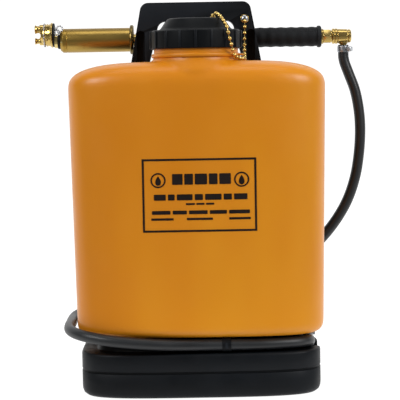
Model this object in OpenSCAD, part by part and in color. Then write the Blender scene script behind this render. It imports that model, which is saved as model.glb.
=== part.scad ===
// Backpack fire pump: a moulded water tank on a base, a back frame with a carrying handle,
// and a hand-worked slide pump that hangs behind the frame on a rubber hose.
// The front faces -Y, the wearer's back is towards +Y, and the part stands on Z = 0.

/* [Tank] */
// Width of the tank at its shoulders
tank_w = 355; // [330:1:380]
// Width of the tank at its foot
tank_foot_w = 343; // [320:1:350]
// Depth of the tank, front to back
tank_d = 166; // [156:1:196]
// Height of the tank body without its neck
tank_h = 376; // [330:1:400]
// Thickness of the tank wall
tank_wall = 3; // [2:0.5:5]
// Rise of the domed shoulder above the straight sides
shoulder_rise = 35; // [25:1:45]

/* [Filler] */
// Outer diameter of the neck bead
bead_d = 123; // [110:1:130]
// Diameter of the neck below the bead
neck_d = 115; // [100:1:118]
// Inside diameter of the filler neck
mouth_d = 102; // [88:1:103]
// Outer diameter of the cap
cap_d = 129; // [124:1:134]
// Height of the cap's ribbed ring
cap_ring_h = 26; // [20:1:30]
// Height of the dome on the cap
cap_dome_h = 16; // [10:1:22]
// Number of grip ribs round the cap
cap_ribs = 18; // [12:1:24]
// Rise of the cap in one turn
thread_pitch = 6; // [4:0.5:8]

/* [Base] */
// Width of the base
base_w = 337; // [320:1:345]
// Height of the base below the hose groove
base_h = 62; // [50:1:75]
// Height of the hose groove
groove_h = 21; // [18:1:28]
// How far the groove is set in from the base
groove_in = 24; // [18:1:30]
// Thickness of the base walls and ribs
base_wall = 5; // [3:0.5:8]

/* [Back frame] */
// Width across the top of the handle
handle_w = 160; // [150:1:170]
// Width of the frame at the foot of the handle's legs
neck_frame_w = 192; // [184:1:204]
// Width of the panel behind the tank
panel_w = 320; // [300:1:326]
// Height of the top of the handle
handle_top = 546; // [520:1:570]
// Thickness of the handle bar
bar_h = 27; // [20:1:32]
// Thickness of the frame, front to back
frame_t = 21; // [16:1:26]
// Width of each strap slot
slot_w = 48; // [40:1:54]

/* [Pump] */
// Height of the pump's centre line
pump_z = 495; // [485:1:500]
// Outer diameter of the pump cylinder
cyl_od = 22.2; // [20:0.1:24]
// Bore of the pump cylinder
cyl_bore = 19.6; // [17:0.1:20]
// Outer diameter of the plunger tube
rod_od = 16; // [14:0.5:16.5]
// Bore of the plunger tube
rod_bore = 12.4; // [9:0.1:12.8]
// Outer diameter of the front sleeve
sleeve_od = 35; // [30:0.5:37]
// Outer diameter of the hand flange
flange_od = 43; // [38:1:46]
// Outer diameter of the rubber grip
grip_od = 29; // [26:0.5:31]
// Travel of the pump from closed to fully drawn out
stroke = 234; // [120:1:236]
// Lift of each valve ball off its seat
valve_lift = 3; // [2:0.5:4]
// Outer diameter of the nozzle head's rim
head_od = 37; // [34:1:40]
// Distance from the pump's centre line to the head's pivot
head_offset = 8.5; // [7.5:0.5:10]
// Bore of the stream nozzle
stream_bore = 4; // [2:0.5:5]
// Bore of the spray nozzle
spray_bore = 2; // [1:0.5:3]

/* [Hose] */
// Outer diameter of the hose
hose_od = 15.5; // [12:0.5:17]

/* [Hidden] */
// Driving places that follow from the sizes above
fit = 0.3;
run = 0.05;
back_y = 81;
front_y = back_y - tank_d;
mid_y = (front_y + back_y) / 2;
tank_z = base_h + groove_h;
tank_top = tank_z + tank_h;
side_top = tank_top - shoulder_rise;
neck_y = -15;
shoulder_p = 2 / 2.6;
shoulder_in_x = 110;
shoulder_in_y = 44;
bead_h = 6;
bead_z = tank_top + 5;
cap_z = bead_z + bead_h + 6;
cap_ring_top = cap_z + cap_ring_h;
cap_top_t = 3;
thread_od = cap_d - 12;
strainer_rim = 2;
rim_z = cap_ring_top - cap_top_t - 2.5 - strainer_rim;
frame_y = back_y + 1;
frame_back = frame_y + frame_t;
pump_y = frame_back + flange_od / 2 + 1.5;
leg_foot_z = 448;
window_r = 12;
leg_x = 79.5;
cyl_x0 = -88;
cyl_x1 = 183;
piston_x = cyl_x0 + 17 + stroke;
piston_l = 14;
valve_bore = 12.6;
inlet_seat_x = cyl_x1 + 13.5;
sleeve_x0 = -198.3;
discharge_seat_x = sleeve_x0 + 25;
sleeve_x1 = -96.6;
flange_x1 = -91;
grip_x0 = 86;
grip_x1 = 184;
branch_x = 216.4;
head_x = -209.7;
tip_x = -236;
wave = 15;
outlet_x = 151;
outlet_y = 14;
outlet_z = 68;
hose_y = frame_back + hose_od / 2 + 1;
groove_mid = base_h + groove_h / 2;
clip_x = 35;
clip_y = -74;
label_w = 154;
label_h = 99;
label_z = 278.5;
strap_x = 87;
strap_t = 3;
strap_w = 44;
pad_t = 7;
slot_top_z = 404;
slot_low_z = 64;
slot_h = 14;
chain_bead = 5.5;
screw_x = 70.7;
screw_z = 520.8;
rivet_x = 24;
pivot_d = 3;
port_d = 6;

// Points that the free hose follows, from the pump's elbow round to the tank's outlet
HOSE_ROUTE = [
    [branch_x, pump_y, pump_z - 29], [branch_x + 0.3, pump_y, pump_z - 32], [218.5, pump_y, pump_z - 40], [224, pump_y, 440],
    [233, pump_y, 415], [238.5, pump_y, 385], [240, pump_y, 355],
    [237.5, pump_y, 320], [231, pump_y - 1, 285], [218, pump_y - 2, 250],
    [197, pump_y - 4, 217], [170, pump_y - 7, 188], [135, hose_y + 3, 163],
    [90, hose_y, 143], [40, hose_y, 127], [-15, hose_y, 115], [-70, hose_y, 106],
    [-120, hose_y, 100], [-152, hose_y, 97], [-173, hose_y - 5, 95],
    [-182, 90, 93], [-184.5, 60, 92], [-184, 25, 92], [-183.5, -10, 92],
    [-180, -38, 91], [-169, -60, 89], [-151, -76, 86.5],
    [-126, -85, 83], [-100, -86.5, 80], [-70, -84.5, 77],
    [-35, -80, groove_mid + 2], [0, -76.5, groove_mid + 1],
    [clip_x, clip_y, groove_mid + 0.5], [70, -72, groove_mid], [100, -68, groove_mid],
    [128, -60, groove_mid], [145, -47, 72], [150.5, -31, 70.5],
    [outlet_x, -15, outlet_z], [outlet_x, 2, outlet_z]
];
// Points that the cap's ball chain hangs along, from the cap's rivet to the frame's screw
CHAIN_ROUTE = [
    [27, -18, 524.5], [31, -30, 522.5], [35, -42, 517.5], [38.5, -54, 511.5], [42, -65, 504.5],
    [43.8, -68, 496], [45.9, -66.5, 487], [48.4, -63, 478.5], [50.5, -59, 470.5],
    [53, -53, 464.8], [59, -42, 462], [64.5, -22, 462], [67.5, 5, 462], [68.5, 32, 462.2],
    [69.2, 54, 465], [69.6, 69, 472], [70, 76, 481.5], [70.3, 77.5, 498], [screw_x, 77.5, 510]
];

// --- shared shapes ---------------------------------------------------------------------

function signed_pow(v, p) = sign(v) * pow(abs(v), p);

// Points of a rounded outline with a bowed front and a flatter back
function plan(half_w, inset, steps = 64) = [
    for (i = [0:steps - 1])
        let (a = 360 * (i + 0.5) / steps, flat = sin(a) < 0 ? 3.7 : 8)
        [
            (half_w - inset) * signed_pow(cos(a), 2 / flat),
            mid_y + (tank_d / 2 - inset) * signed_pow(sin(a), 2 / flat)
        ]
];

// Points on a smooth curve through a route, with n steps between neighbours
function curve_at(p, i, t) =
    let (
        n = len(p) - 1,
        a = p[max(0, i - 1)],
        b = p[i],
        c = p[min(n, i + 1)],
        d = p[min(n, i + 2)]
    )
    0.5 * (2 * b + (c - a) * t + (2 * a - 5 * b + 4 * c - d) * t * t
        + (3 * b - a - 3 * c + d) * t * t * t);
function smooth(p, n) = [
    for (i = [0:len(p) - 2], k = [0:n - 1]) curve_at(p, i, k / n),
    p[len(p) - 1]
];
function unit(v) = v / norm(v);
function along(p, i) = unit(p[min(len(p) - 1, i + 1)] - p[max(0, i - 1)]);

// Side direction of each ring, carried from ring to ring so that the tube doesn't twist
function carried(p, i, s) = unit(s - along(p, i) * (s * along(p, i)));
function sides(p, start) = [
    for (i = 0, s = carried(p, 0, start); i < len(p); i = i + 1, s = i < len(p) ? carried(p, i, s) : s) s
];

// A tube swept along points
module sweep(p, r, start, count = 10) {
    side = sides(p, start);
    rings = [
        for (i = [0:len(p) - 1], k = [0:count - 1])
            let (a = 360 * k / count)
            p[i] + r * (side[i] * cos(a) + cross(along(p, i), side[i]) * sin(a))
    ];
    walls = [
        for (i = [0:len(p) - 2], k = [0:count - 1])
            let (a = i * count, b = (k + 1) % count)
            [a + k, a + count + k, a + count + b, a + b]
    ];
    first = [for (k = [0:count - 1]) k];
    last = [for (k = [count - 1:-1:0]) (len(p) - 1) * count + k];
    polyhedron(points = rings, faces = concat([first], walls, [last]), convexity = 8);
}

// A solid of revolution along +X from outline points given as [x, radius]
module turned_x(outline) {
    rotate([90, 0, 90])
        rotate_extrude($fn = 96)
            polygon([for (p = outline) [p[1], p[0]]]);
}

// A straight tube along +X
module tube_x(x0, x1, outer, bore) {
    translate([x0, 0, 0])
        rotate([0, 90, 0])
            difference() {
                cylinder(h = x1 - x0, d = outer, $fn = 96);
                translate([0, 0, -1])
                    cylinder(h = x1 - x0 + 2, d = bore, $fn = 96);
            }
}

module at_pump() {
    translate([0, pump_y, pump_z])
        children();
}

module at_head() {
    translate([0, pump_y, pump_z + head_offset])
        children();
}

// --- tank ------------------------------------------------------------------------------

// Solid form of the tank, grown or shrunk by an inset
module tank_form(inset) {
    foot = tank_foot_w / 2;
    top = tank_w / 2;
    roll = 14;
    hull() {
        for (a = [0:22.5:90])
            translate([0, 0, tank_z + inset + (roll - inset) * (1 - sin(a))])
                linear_extrude(0.02)
                    polygon(plan(foot, inset + (roll - inset) * (1 - cos(a))));
        for (a = [0, 3, 8, 16, 28, 42, 58, 74, 90])
            translate([0, 0, side_top - 0.02 + (shoulder_rise - inset) * pow(sin(a), shoulder_p)])
                linear_extrude(0.02)
                    polygon(shoulder_plan(top - inset, a, inset));
    }
}

// Outline of the shoulder at an angle up its dome
function shoulder_plan(half_w, a, inset, steps = 64) =
    let (in_x = shoulder_in_x * (1 - pow(cos(a), shoulder_p)),
        in_y = shoulder_in_y * (1 - pow(cos(a), shoulder_p)))
    [
        for (i = [0:steps - 1])
            let (b = 360 * (i + 0.5) / steps, flat = sin(b) < 0 ? 3.7 : 8)
            [
                (half_w - in_x) * signed_pow(cos(b), 2 / flat),
                mid_y + (tank_d / 2 - inset - in_y) * signed_pow(sin(b), 2 / flat)
            ]
    ];

module tank_shell() {
    color("darkorange")
    difference() {
        union() {
            tank_form(0);
            translate([0, neck_y, side_top + 8])
                cylinder(h = rim_z - side_top - 8, d = neck_d, $fn = 128);
            translate([0, neck_y, bead_z])
                cylinder(h = bead_h, d = bead_d, $fn = 128);
            // The thread is drawn as plain rings
            for (z = [bead_z + bead_h + 2.5:thread_pitch:rim_z - 4])
                translate([0, neck_y, z])
                    cylinder(h = 2, d = thread_od, $fn = 128);
        }
        tank_form(tank_wall);
        translate([0, neck_y, side_top - 10])
            cylinder(h = 200, d = mouth_d, $fn = 128);
        translate([outlet_x - 10, outlet_y, tank_z - 1])
            cylinder(h = tank_wall + 2, d = 12.6, $fn = 64);
    }
}

module fill_strainer() {
    depth = 60;
    color("darkgray")
    translate([0, neck_y, rim_z - depth])
        difference() {
            union() {
                cylinder(h = depth, d = mouth_d - 2 * fit, $fn = 96);
                translate([0, 0, depth])
                    cylinder(h = strainer_rim, d = neck_d - 4, $fn = 96);
            }
            translate([0, 0, 2])
                cylinder(h = depth + 1, d = mouth_d - 5, $fn = 96);
            for (a = [0:30:330])
                rotate([0, 0, a])
                    translate([mouth_d / 4, -3, 14])
                        cube([mouth_d / 2, 6, 34]);
            for (a = [0:60:300])
                rotate([0, 0, a])
                    translate([26, 0, -1])
                        cylinder(h = 4, d = 12, $fn = 32);
        }
}

module label_plate() {
    plate_t = 1.2;
    color("darkorange")
    translate([1.5 - label_w / 2, front_y - plate_t - 0.1, label_z - label_h / 2])
        cube([label_w, plate_t, label_h]);
}

// --- base ------------------------------------------------------------------------------

// A slice of the base between two heights
module base_slice(inset, z0, z1) {
    translate([0, 0, z0])
        linear_extrude(z1 - z0)
            polygon(plan(base_w / 2, inset, 48));
}

module base_box() {
    recess_w = base_w / 2 - 30;
    recess_d = tank_d / 2 - 28;
    color("#17191b")
    difference() {
        union() {
            // The foot steps in towards the ground, and a fine line runs round at mid height
            for (a = [0:30:60])
                base_slice(2 + 10 * (1 - cos(90 - a)), 10 * (1 - cos(a)), 12);
            base_slice(2, 10, 35);
            base_slice(3.6, 34, 38);
            base_slice(2, 37.4, base_h);
            base_slice(groove_in, base_h - 2, tank_z);
        }
        for (sx = [-1, 1], sy = [-1, 1])
            translate([
                sx * (base_wall / 2 + recess_w / 2) - recess_w / 2,
                mid_y + 2 + sy * (base_wall / 2 + recess_d / 2) - recess_d / 2,
                -1
            ])
                cube([recess_w, recess_d, outlet_z - 19 - base_wall + 1]);
        translate([outlet_x - 30, outlet_y - 40, outlet_z - 19])
            cube([60, 62, 60]);
    }
}

// --- back frame ------------------------------------------------------------------------

// Front view of the frame as a flat outline, shrunk by an inset
module frame_outline(inset) {
    top_r = 12;
    hull() {
        for (s = [-1, 1]) {
            translate([s * (handle_w / 2 - top_r), handle_top - top_r])
                circle(r = top_r - inset, $fn = 48);
            translate([s * (neck_frame_w / 2 - 10), leg_foot_z])
                circle(r = 10 - inset, $fn = 32);
        }
    }
    hull() {
        for (s = [-1, 1]) {
            translate([s * (neck_frame_w / 2 - 10), leg_foot_z])
                circle(r = 10 - inset, $fn = 32);
            translate([s * (panel_w / 2 - 34), leg_foot_z - 74])
                circle(r = 34 - inset, $fn = 48);
            translate([s * (panel_w / 2 - 12), 22])
                circle(r = 12 - inset, $fn = 32);
        }
    }
}

module window_outline() {
    hull() {
        for (s = [-1, 1]) {
            translate([s * 43.5, handle_top - bar_h - window_r])
                circle(r = window_r, $fn = 64);
            translate([s * 56, 456])
                circle(r = window_r, $fn = 64);
        }
    }
}

module back_frame() {
    rim = 3;
    color("#17191b")
    difference() {
        union() {
            translate([0, frame_back, 0])
                rotate([90, 0, 0])
                    linear_extrude(frame_t)
                        frame_outline(rim);
            translate([0, frame_back - rim, 0])
                rotate([90, 0, 0])
                    linear_extrude(frame_t - 2 * rim)
                        frame_outline(0);
        }
        translate([0, frame_back + 1, 0])
            rotate([90, 0, 0])
                linear_extrude(frame_t + 2)
                    window_outline();
        // Channels down the front of each leg of the handle
        for (s = [-1, 1])
            translate([s * leg_x - 6, frame_y - 1, 412])
                cube([12, 13, 94]);
        // Shallow panels on the wearer's side
        for (s = [-1, 1])
            translate([s * 86 - 46, frame_back - 6, 150])
                cube([92, 10, 200]);
        translate([-26, frame_back - 6, 60])
            cube([52, 10, 330]);
        // Slots for the shoulder straps
        for (s = [-1, 1], z = [slot_top_z, slot_low_z])
            translate([s * strap_x - slot_w / 2, frame_y - 1, z])
                cube([slot_w, frame_t + 2, slot_h]);
        for (p = frame_bolt_places())
            translate([p[0], frame_y - 1, p[1]])
                rotate([-90, 0, 0])
                    cylinder(h = frame_t + 2, d = 6.4, $fn = 48);
        translate([screw_x, frame_y - 1, screw_z])
            rotate([-90, 0, 0])
                cylinder(h = 15, d = 4, $fn = 48);
        for (s = [-1, 1])
            translate([s * hook_x(), frame_back + 1, hook_rivet_z])
                rotate([90, 0, 0])
                    cylinder(h = frame_t + 2, d = 4.1, $fn = 48);
    }
}

function frame_bolt_places() = [
    for (s = [-1, 1], z = [20, 48]) [s * 34, z]
];

module frame_bolts() {
    color("silver")
    for (p = frame_bolt_places())
        translate([p[0], 0, p[1]]) {
            translate([0, frame_back, 0])
                rotate([-90, 0, 0])
                    cylinder(h = 4, d = 11, $fn = 6);
            translate([0, frame_y, 0])
                rotate([-90, 0, 0])
                    cylinder(h = frame_t, d = 6, $fn = 48);
        }
}

// --- hooks that hold the pump ----------------------------------------------------------

hook_w = 12;
hook_t = 3;
hook_rivet_z = pump_z - cyl_od / 2 - 24;
function hook_x() = leg_x - 5;

// An open-topped hook, bent from strip, that the pump drops into
module pump_hook(x) {
    seat_r = cyl_od / 2 + fit;
    low = pump_z - seat_r - hook_t;
    color("dimgray")
    translate([x - hook_w / 2, 0, 0])
        difference() {
            union() {
                translate([0, frame_back + fit, hook_rivet_z - 8])
                    cube([hook_w, hook_t, low - hook_rivet_z + 8 + 6]);
                translate([0, frame_back + fit, low])
                    cube([hook_w, pump_y - frame_back, seat_r]);
                translate([0, pump_y, pump_z])
                    rotate([0, 90, 0])
                        cylinder(h = hook_w, r = seat_r + hook_t, $fn = 96);
            }
            translate([-1, pump_y, pump_z])
                rotate([0, 90, 0])
                    cylinder(h = hook_w + 2, r = seat_r, $fn = 96);
            translate([-1, pump_y - seat_r, pump_z])
                cube([hook_w + 2, 2 * seat_r, 40]);
            translate([-1, frame_back - 20, pump_z])
                cube([hook_w + 2, pump_y - frame_back + 50, 40]);
            translate([-1, frame_back + fit + hook_t, low - 1])
                cube([hook_w + 2, pump_y - frame_back - seat_r - 2 * hook_t, 7]);
            translate([hook_w / 2, frame_back - 1, hook_rivet_z])
                rotate([-90, 0, 0])
                    cylinder(h = 20, d = 4.1, $fn = 48);
        }
}

module pump_hook_left() {
    pump_hook(-hook_x());
}

module pump_hook_right() {
    pump_hook(hook_x());
}

module hook_rivets() {
    color("silver")
    for (s = [-1, 1])
        translate([s * hook_x(), 0, hook_rivet_z]) {
            translate([0, frame_back - 10, 0])
                rotate([-90, 0, 0])
                    cylinder(h = 10 + hook_t + fit, d = 4, $fn = 48);
            translate([0, frame_back + fit + hook_t, 0])
                rotate([-90, 0, 0])
                    cylinder(h = 2, d1 = 8.5, d2 = 6, $fn = 48);
        }
}

// --- outlet ----------------------------------------------------------------------------

outlet_tank_x = outlet_x - 10;
elbow_r = 9.5;

module outlet_elbow() {
    color("#a8873f")
    difference() {
        union() {
            translate([outlet_tank_x, outlet_y, outlet_z])
                cylinder(h = tank_z + tank_wall + 9 - outlet_z, d = 12, $fn = 64);
            translate([outlet_tank_x, outlet_y, outlet_z - 9])
                cylinder(h = tank_z - 2 - outlet_z + 9, r = elbow_r, $fn = 64);
            translate([outlet_tank_x, outlet_y, outlet_z - 13])
                cylinder(h = 5, d = 14, $fn = 6);
            translate([outlet_tank_x, outlet_y, outlet_z])
                rotate([0, 90, -50])
                    cylinder(h = 15, r = 7.5, $fn = 64);
            translate([outlet_x, 2, outlet_z])
                rotate([90, 0, 0])
                    cylinder(h = 20, d = hose_od - 6, $fn = 64);
            translate([outlet_x, 14, outlet_z])
                rotate([90, 0, 0])
                    cylinder(h = 11.7, d = 17.5, $fn = 6);
        }
        translate([outlet_tank_x, outlet_y, outlet_z - 4])
            cylinder(h = 40, d = 8, $fn = 48);
        translate([outlet_x, 10, outlet_z])
            rotate([90, 0, 0])
                cylinder(h = 40, d = 6, $fn = 48);
        translate([outlet_tank_x, outlet_y, outlet_z])
            rotate([0, 90, -30])
                cylinder(h = 10, r = 3, $fn = 48);
    }
}

module outlet_gasket() {
    color("black")
    translate([outlet_tank_x, outlet_y, tank_z - 2])
        difference() {
            cylinder(h = 2, r = elbow_r, $fn = 64);
            translate([0, 0, -1])
                cylinder(h = 4, d = 12.6, $fn = 64);
        }
}

module outlet_locknut() {
    color("#a8873f")
    translate([outlet_tank_x, outlet_y, tank_z + tank_wall])
        difference() {
            cylinder(h = 6, d = 22, $fn = 6);
            translate([0, 0, -1])
                cylinder(h = 8, d = 12.1, $fn = 64);
        }
}

module outlet_strainer() {
    color("#a8873f")
    translate([outlet_tank_x, outlet_y, tank_z + tank_wall + 9])
        difference() {
            cylinder(h = 26, d = 12, $fn = 64);
            translate([0, 0, -1])
                cylinder(h = 25, d = 10, $fn = 64);
            for (a = [0:45:315])
                rotate([0, 0, a])
                    translate([4, -0.8, 5])
                        cube([4, 1.6, 15]);
        }
}

// A band clamp round the Z axis with its housing on +X
module clamp_band(tail) {
    difference() {
        union() {
            cylinder(h = 9, d = hose_od + 2.6, $fn = 96);
            translate([hose_od / 2 - 1, -5, 0.5])
                cube([6, 10, 8]);
            if (tail)
                translate([hose_od / 2 + 4.2, -5, -1.5])
                    cube([0.9, 10, 3]);
        }
        translate([0, 0, -1])
            cylinder(h = 11, d = hose_od + 0.2, $fn = 96);
        translate([hose_od / 2 + 2.4, -8, 4.5])
            rotate([-90, 0, 0])
                cylinder(h = 16, d = 4.2, $fn = 48);
    }
}

module clamp_screw() {
    translate([hose_od / 2 + 2.4, -9, 4.5])
        rotate([-90, 0, 0]) {
            cylinder(h = 14, d = 4, $fn = 48);
            cylinder(h = 3.6, d = 6.6, $fn = 6);
        }
}

module at_lower_clamp() {
    translate([outlet_x, -6, outlet_z])
        rotate([90, 0, 0])
            children();
}

module lower_clamp_band() {
    color("silver")
    at_lower_clamp()
        rotate([0, 0, 90])
            clamp_band(false);
}

module lower_clamp_screw() {
    color("silver")
    at_lower_clamp()
        rotate([0, 0, 90])
            clamp_screw();
}

module hose_clip() {
    clip_r = hose_od / 2 + fit;
    clip_w = 12;
    color("#17191b")
    translate([clip_x - clip_w / 2, clip_y, groove_mid + 0.5])
        rotate([0, 90, 0])
            difference() {
                union() {
                    cylinder(h = clip_w, r = clip_r + 1.2, $fn = 64);
                    translate([-clip_r - 1, 0, 0])
                        cube([2 * clip_r + 2, front_y + groove_in - clip_y, clip_w]);
                }
                translate([0, 0, -1])
                    cylinder(h = clip_w + 2, r = clip_r, $fn = 64);
            }
}

module hose() {
    color("#1c1c1e")
    sweep(smooth(HOSE_ROUTE, 2), hose_od / 2, [0, 1, 0], 10);
}

// The end of the hose that is pushed over the pump's barb
module hose_cuff() {
    color("#1c1c1e")
    translate([branch_x, pump_y, pump_z - 28])
        difference() {
            cylinder(h = 16, d = hose_od, $fn = 96);
            translate([0, 0, -1])
                cylinder(h = 18, d = hose_od - 5.1, $fn = 64);
        }
}

// --- straps ----------------------------------------------------------------------------

// Side view of a strap, from its upper slot round to its lower slot, as [y, z]
STRAP_LINE = [
    [frame_y + 3, slot_top_z + 3], [frame_back - 3, slot_top_z + 3],
    [frame_back + 15, slot_top_z - 5], [frame_back + 34, 385], [frame_back + 48, 325],
    [frame_back + 53, 262], [frame_back + 50, 200], [frame_back + 38, 145],
    [frame_back + 20, 100], [frame_back + 6, slot_low_z + 14],
    [frame_back - 5, slot_low_z + 6], [frame_y + 3, slot_low_z + 6]
];

// Part of a strap between two of its points, from one depth to another across its line
module strap_band(x, w, depth0, depth1, from, to) {
    line = smooth([for (p = STRAP_LINE) [p[0], p[1], 0]], 3);
    function edge(i, t) = let (d = along(line, i)) [line[i][0] - t * d[1], line[i][1] + t * d[0]];
    translate([x - w / 2, 0, 0])
        rotate([90, 0, 90])
            linear_extrude(w)
                polygon(concat(
                    [for (i = [from:to]) edge(i, depth0)],
                    [for (i = [to:-1:from]) edge(i, depth1)]
                ));
}

module strap(x) {
    color("#2a2c2e")
    strap_band(x, strap_w, 0, strap_t, 0, 33);
}

module strap_left() {
    strap(-strap_x);
}

module strap_right() {
    strap(strap_x);
}

module shoulder_pad(x) {
    color("#202224")
    strap_band(x, strap_w + 14, -pad_t, -fit, 8, 17);
}

module shoulder_pad_left() {
    shoulder_pad(-strap_x);
}

module shoulder_pad_right() {
    shoulder_pad(strap_x);
}

module strap_buckles() {
    color("#17191b")
    for (s = [-1, 1])
        difference() {
            strap_band(s * strap_x, strap_w + 10, -4, strap_t + 4, 20, 22);
            strap_band(s * strap_x, strap_w + 1, -fit, strap_t + fit, 19, 23);
        }
}

// --- cap -------------------------------------------------------------------------------

module cap_gasket() {
    color("black")
    translate([0, neck_y, rim_z + strainer_rim])
        difference() {
            cylinder(h = 2.4, d = neck_d, $fn = 96);
            translate([0, 0, -1])
                cylinder(h = 5, d = mouth_d, $fn = 96);
        }
}

module cap_shell() {
    dome_foot = 98;
    dome_head = 76;
    color("#17191b")
    translate([0, neck_y, 0])
        difference() {
            union() {
                translate([0, 0, cap_z])
                    cylinder(h = cap_ring_h, d = cap_d - 3, $fn = 128);
                for (i = [0:cap_ribs - 1])
                    rotate([0, 0, 360 * (i + 0.5) / cap_ribs])
                        translate([cap_d / 2 - 4, -2.5, cap_z + 1])
                            cube([4, 5, cap_ring_h - 2]);
                translate([0, 0, cap_ring_top])
                    cylinder(h = cap_dome_h - 2, d1 = dome_foot, d2 = dome_head + 3, $fn = 128);
                translate([0, 0, cap_ring_top + cap_dome_h - 2])
                    cylinder(h = 2, d1 = dome_head + 3, d2 = dome_head - 2, $fn = 128);
                for (i = [0:5])
                    rotate([0, 0, 60 * i + 30])
                        translate([dome_head / 2 - 6, -2, cap_ring_top - 1])
                            cube([12, 4, cap_dome_h - 3]);
            }
            translate([0, 0, cap_z - 1])
                cylinder(h = cap_ring_h - cap_top_t + 1, d = thread_od + 1, $fn = 128);
            translate([0, 0, cap_ring_top - cap_top_t - 1])
                cylinder(h = cap_dome_h - 1, d1 = dome_foot - 8, d2 = dome_head - 6, $fn = 128);
            translate([rivet_x, 0, cap_ring_top])
                cylinder(h = 40, d = 4.1, $fn = 48);
        }
}

module chain_rivet() {
    top = cap_ring_top + cap_dome_h;
    color("#a8873f")
    translate([rivet_x, neck_y, 0]) {
        translate([0, 0, top - 3])
            cylinder(h = 3, d = 4, $fn = 48);
        translate([0, 0, top])
            cylinder(h = 2.6, d1 = 9, d2 = 6.5, $fn = 48);
    }
}

module chain_screw() {
    color("silver")
    translate([screw_x, frame_y, screw_z]) {
        rotate([-90, 0, 0])
            cylinder(h = 12, d = 3.9, $fn = 48);
        rotate([90, 0, 0])
            cylinder(h = 1, d = 8, $fn = 48);
        translate([0, -1, 0])
            rotate([90, 0, 0])
                cylinder(h = 3, d1 = 10.8, d2 = 8, $fn = 48);
    }
}

module cap_chain() {
    line = smooth(CHAIN_ROUTE, 2);
    color("#b08d45") {
        sweep(line, 0.9, [1, 0, 0], 8);
        for (i = [1:len(line) - 2])
            translate(line[i])
                sphere(d = chain_bead, $fn = 24);
    }
}

// --- rear half of the pump -------------------------------------------------------------

module pump_cylinder() {
    color("#a8873f")
    at_pump()
        tube_x(cyl_x0 + 6, cyl_x1 + 4, cyl_od, cyl_bore);
}

module rubber_grip() {
    bead = 4;
    color("#1c1c1e")
    at_pump()
        difference() {
            union() {
                tube_x(grip_x0, grip_x1 - 2, grip_od - 1, cyl_od + 0.04);
                for (i = [0:5])
                    tube_x(grip_x0 + 4 + i * wave, grip_x0 + 14 + i * wave, grip_od, cyl_od + 1);
                tube_x(grip_x1 - 2 - bead, grip_x1, grip_od + 3, cyl_od + 0.04);
            }
            translate([grip_x0 - 1, 0, 0])
                rotate([0, 90, 0])
                    cylinder(h = 120, d = cyl_od + 0.04, $fn = 96);
        }
}

module gland_nut() {
    color("#a8873f")
    at_pump()
        difference() {
            translate([cyl_x0, 0, 0])
                rotate([0, 90, 0])
                    cylinder(h = 6, d = cyl_od, $fn = 6);
            translate([cyl_x0 - 1, 0, 0])
                rotate([0, 90, 0])
                    cylinder(h = 10, d = rod_od + 2 * run, $fn = 96);
        }
}

module gland_packing() {
    color("white")
    at_pump()
        tube_x(cyl_x0 + 6, cyl_x0 + 12, cyl_bore - 2 * run, rod_od + 2 * run);
}

module rear_nut() {
    color("#a8873f")
    at_pump()
        difference() {
            union() {
                translate([cyl_x1 + 4, 0, 0])
                    rotate([0, 90, 0])
                        cylinder(h = 11, d = 22, $fn = 6);
                tube_x(cyl_x1 + 15, cyl_x1 + 16.5, 17, valve_bore);
            }
            translate([cyl_x1, 0, 0])
                rotate([0, 90, 0])
                    cylinder(h = 30, d = valve_bore, $fn = 64);
        }
}

module rear_collar() {
    color("#a8873f")
    at_pump()
        tube_x(cyl_x1 + 16.5, cyl_x1 + 25.3, 22.5, valve_bore);
}

module inlet_elbow() {
    x0 = cyl_x1 + 25.3;
    color("#b59a52")
    at_pump()
        difference() {
            union() {
                turned_x([
                    [x0, 0], [x0, 10.6], [x0 + 14, 10], [x0 + 14, 9.4], [x0 + 15, 9.4],
                    [x0 + 15, 10], [x0 + 18, 9.7], [x0 + 19.7, 8.4], [x0 + 19.7, 0]
                ]);
                translate([branch_x, 0, -12])
                    cylinder(h = 12, d = 13, $fn = 64);
                translate([branch_x, 0, -28])
                    cylinder(h = 17, d = hose_od - 6, $fn = 64);
                for (i = [0:2])
                    translate([branch_x, 0, -27 + 5 * i])
                        cylinder(h = 3, d1 = hose_od - 6, d2 = hose_od - 5.2, $fn = 64);
            }
            translate([x0 - 1, 0, 0])
                rotate([0, 90, 0])
                    cylinder(h = 14, d = 11, $fn = 64);
            translate([branch_x, 0, -30])
                cylinder(h = 30, d = 6.5, $fn = 64);
        }
}

// A ball valve's cage: a tube with a seat at one end and a stop ring at the other
module ball_cage(seat_x, outer, ball_d) {
    at_pump() {
        tube_x(seat_x - ball_d - valve_lift, seat_x, outer, ball_d + 1.5);
        tube_x(seat_x, seat_x + 2.5, outer, ball_d - 2.4);
        tube_x(seat_x - ball_d - valve_lift - 2, seat_x - ball_d - valve_lift, outer, ball_d - 2);
    }
}

module valve_ball(seat_x, ball_d) {
    color("silver")
    at_pump()
        translate([seat_x - ball_d / 2 - run, 0, 0])
            sphere(d = ball_d, $fn = 64);
}

module inlet_cage() {
    color("#a8873f")
    ball_cage(inlet_seat_x, valve_bore - 2 * run, 7.9);
}

module inlet_ball() {
    valve_ball(inlet_seat_x, 7.9);
}

module at_upper_clamp() {
    translate([branch_x, pump_y, pump_z - 22])
        children();
}

module upper_clamp_band() {
    color("silver")
    at_upper_clamp()
        rotate([0, 0, -20])
            clamp_band(true);
}

module upper_clamp_screw() {
    color("silver")
    at_upper_clamp()
        rotate([0, 0, -20])
            clamp_screw();
}

// --- front half of the pump ------------------------------------------------------------

module plunger_tube() {
    color("#a8873f")
    at_pump()
        tube_x(sleeve_x0 + 4, piston_x - 4, rod_od, rod_bore);
}

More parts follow.
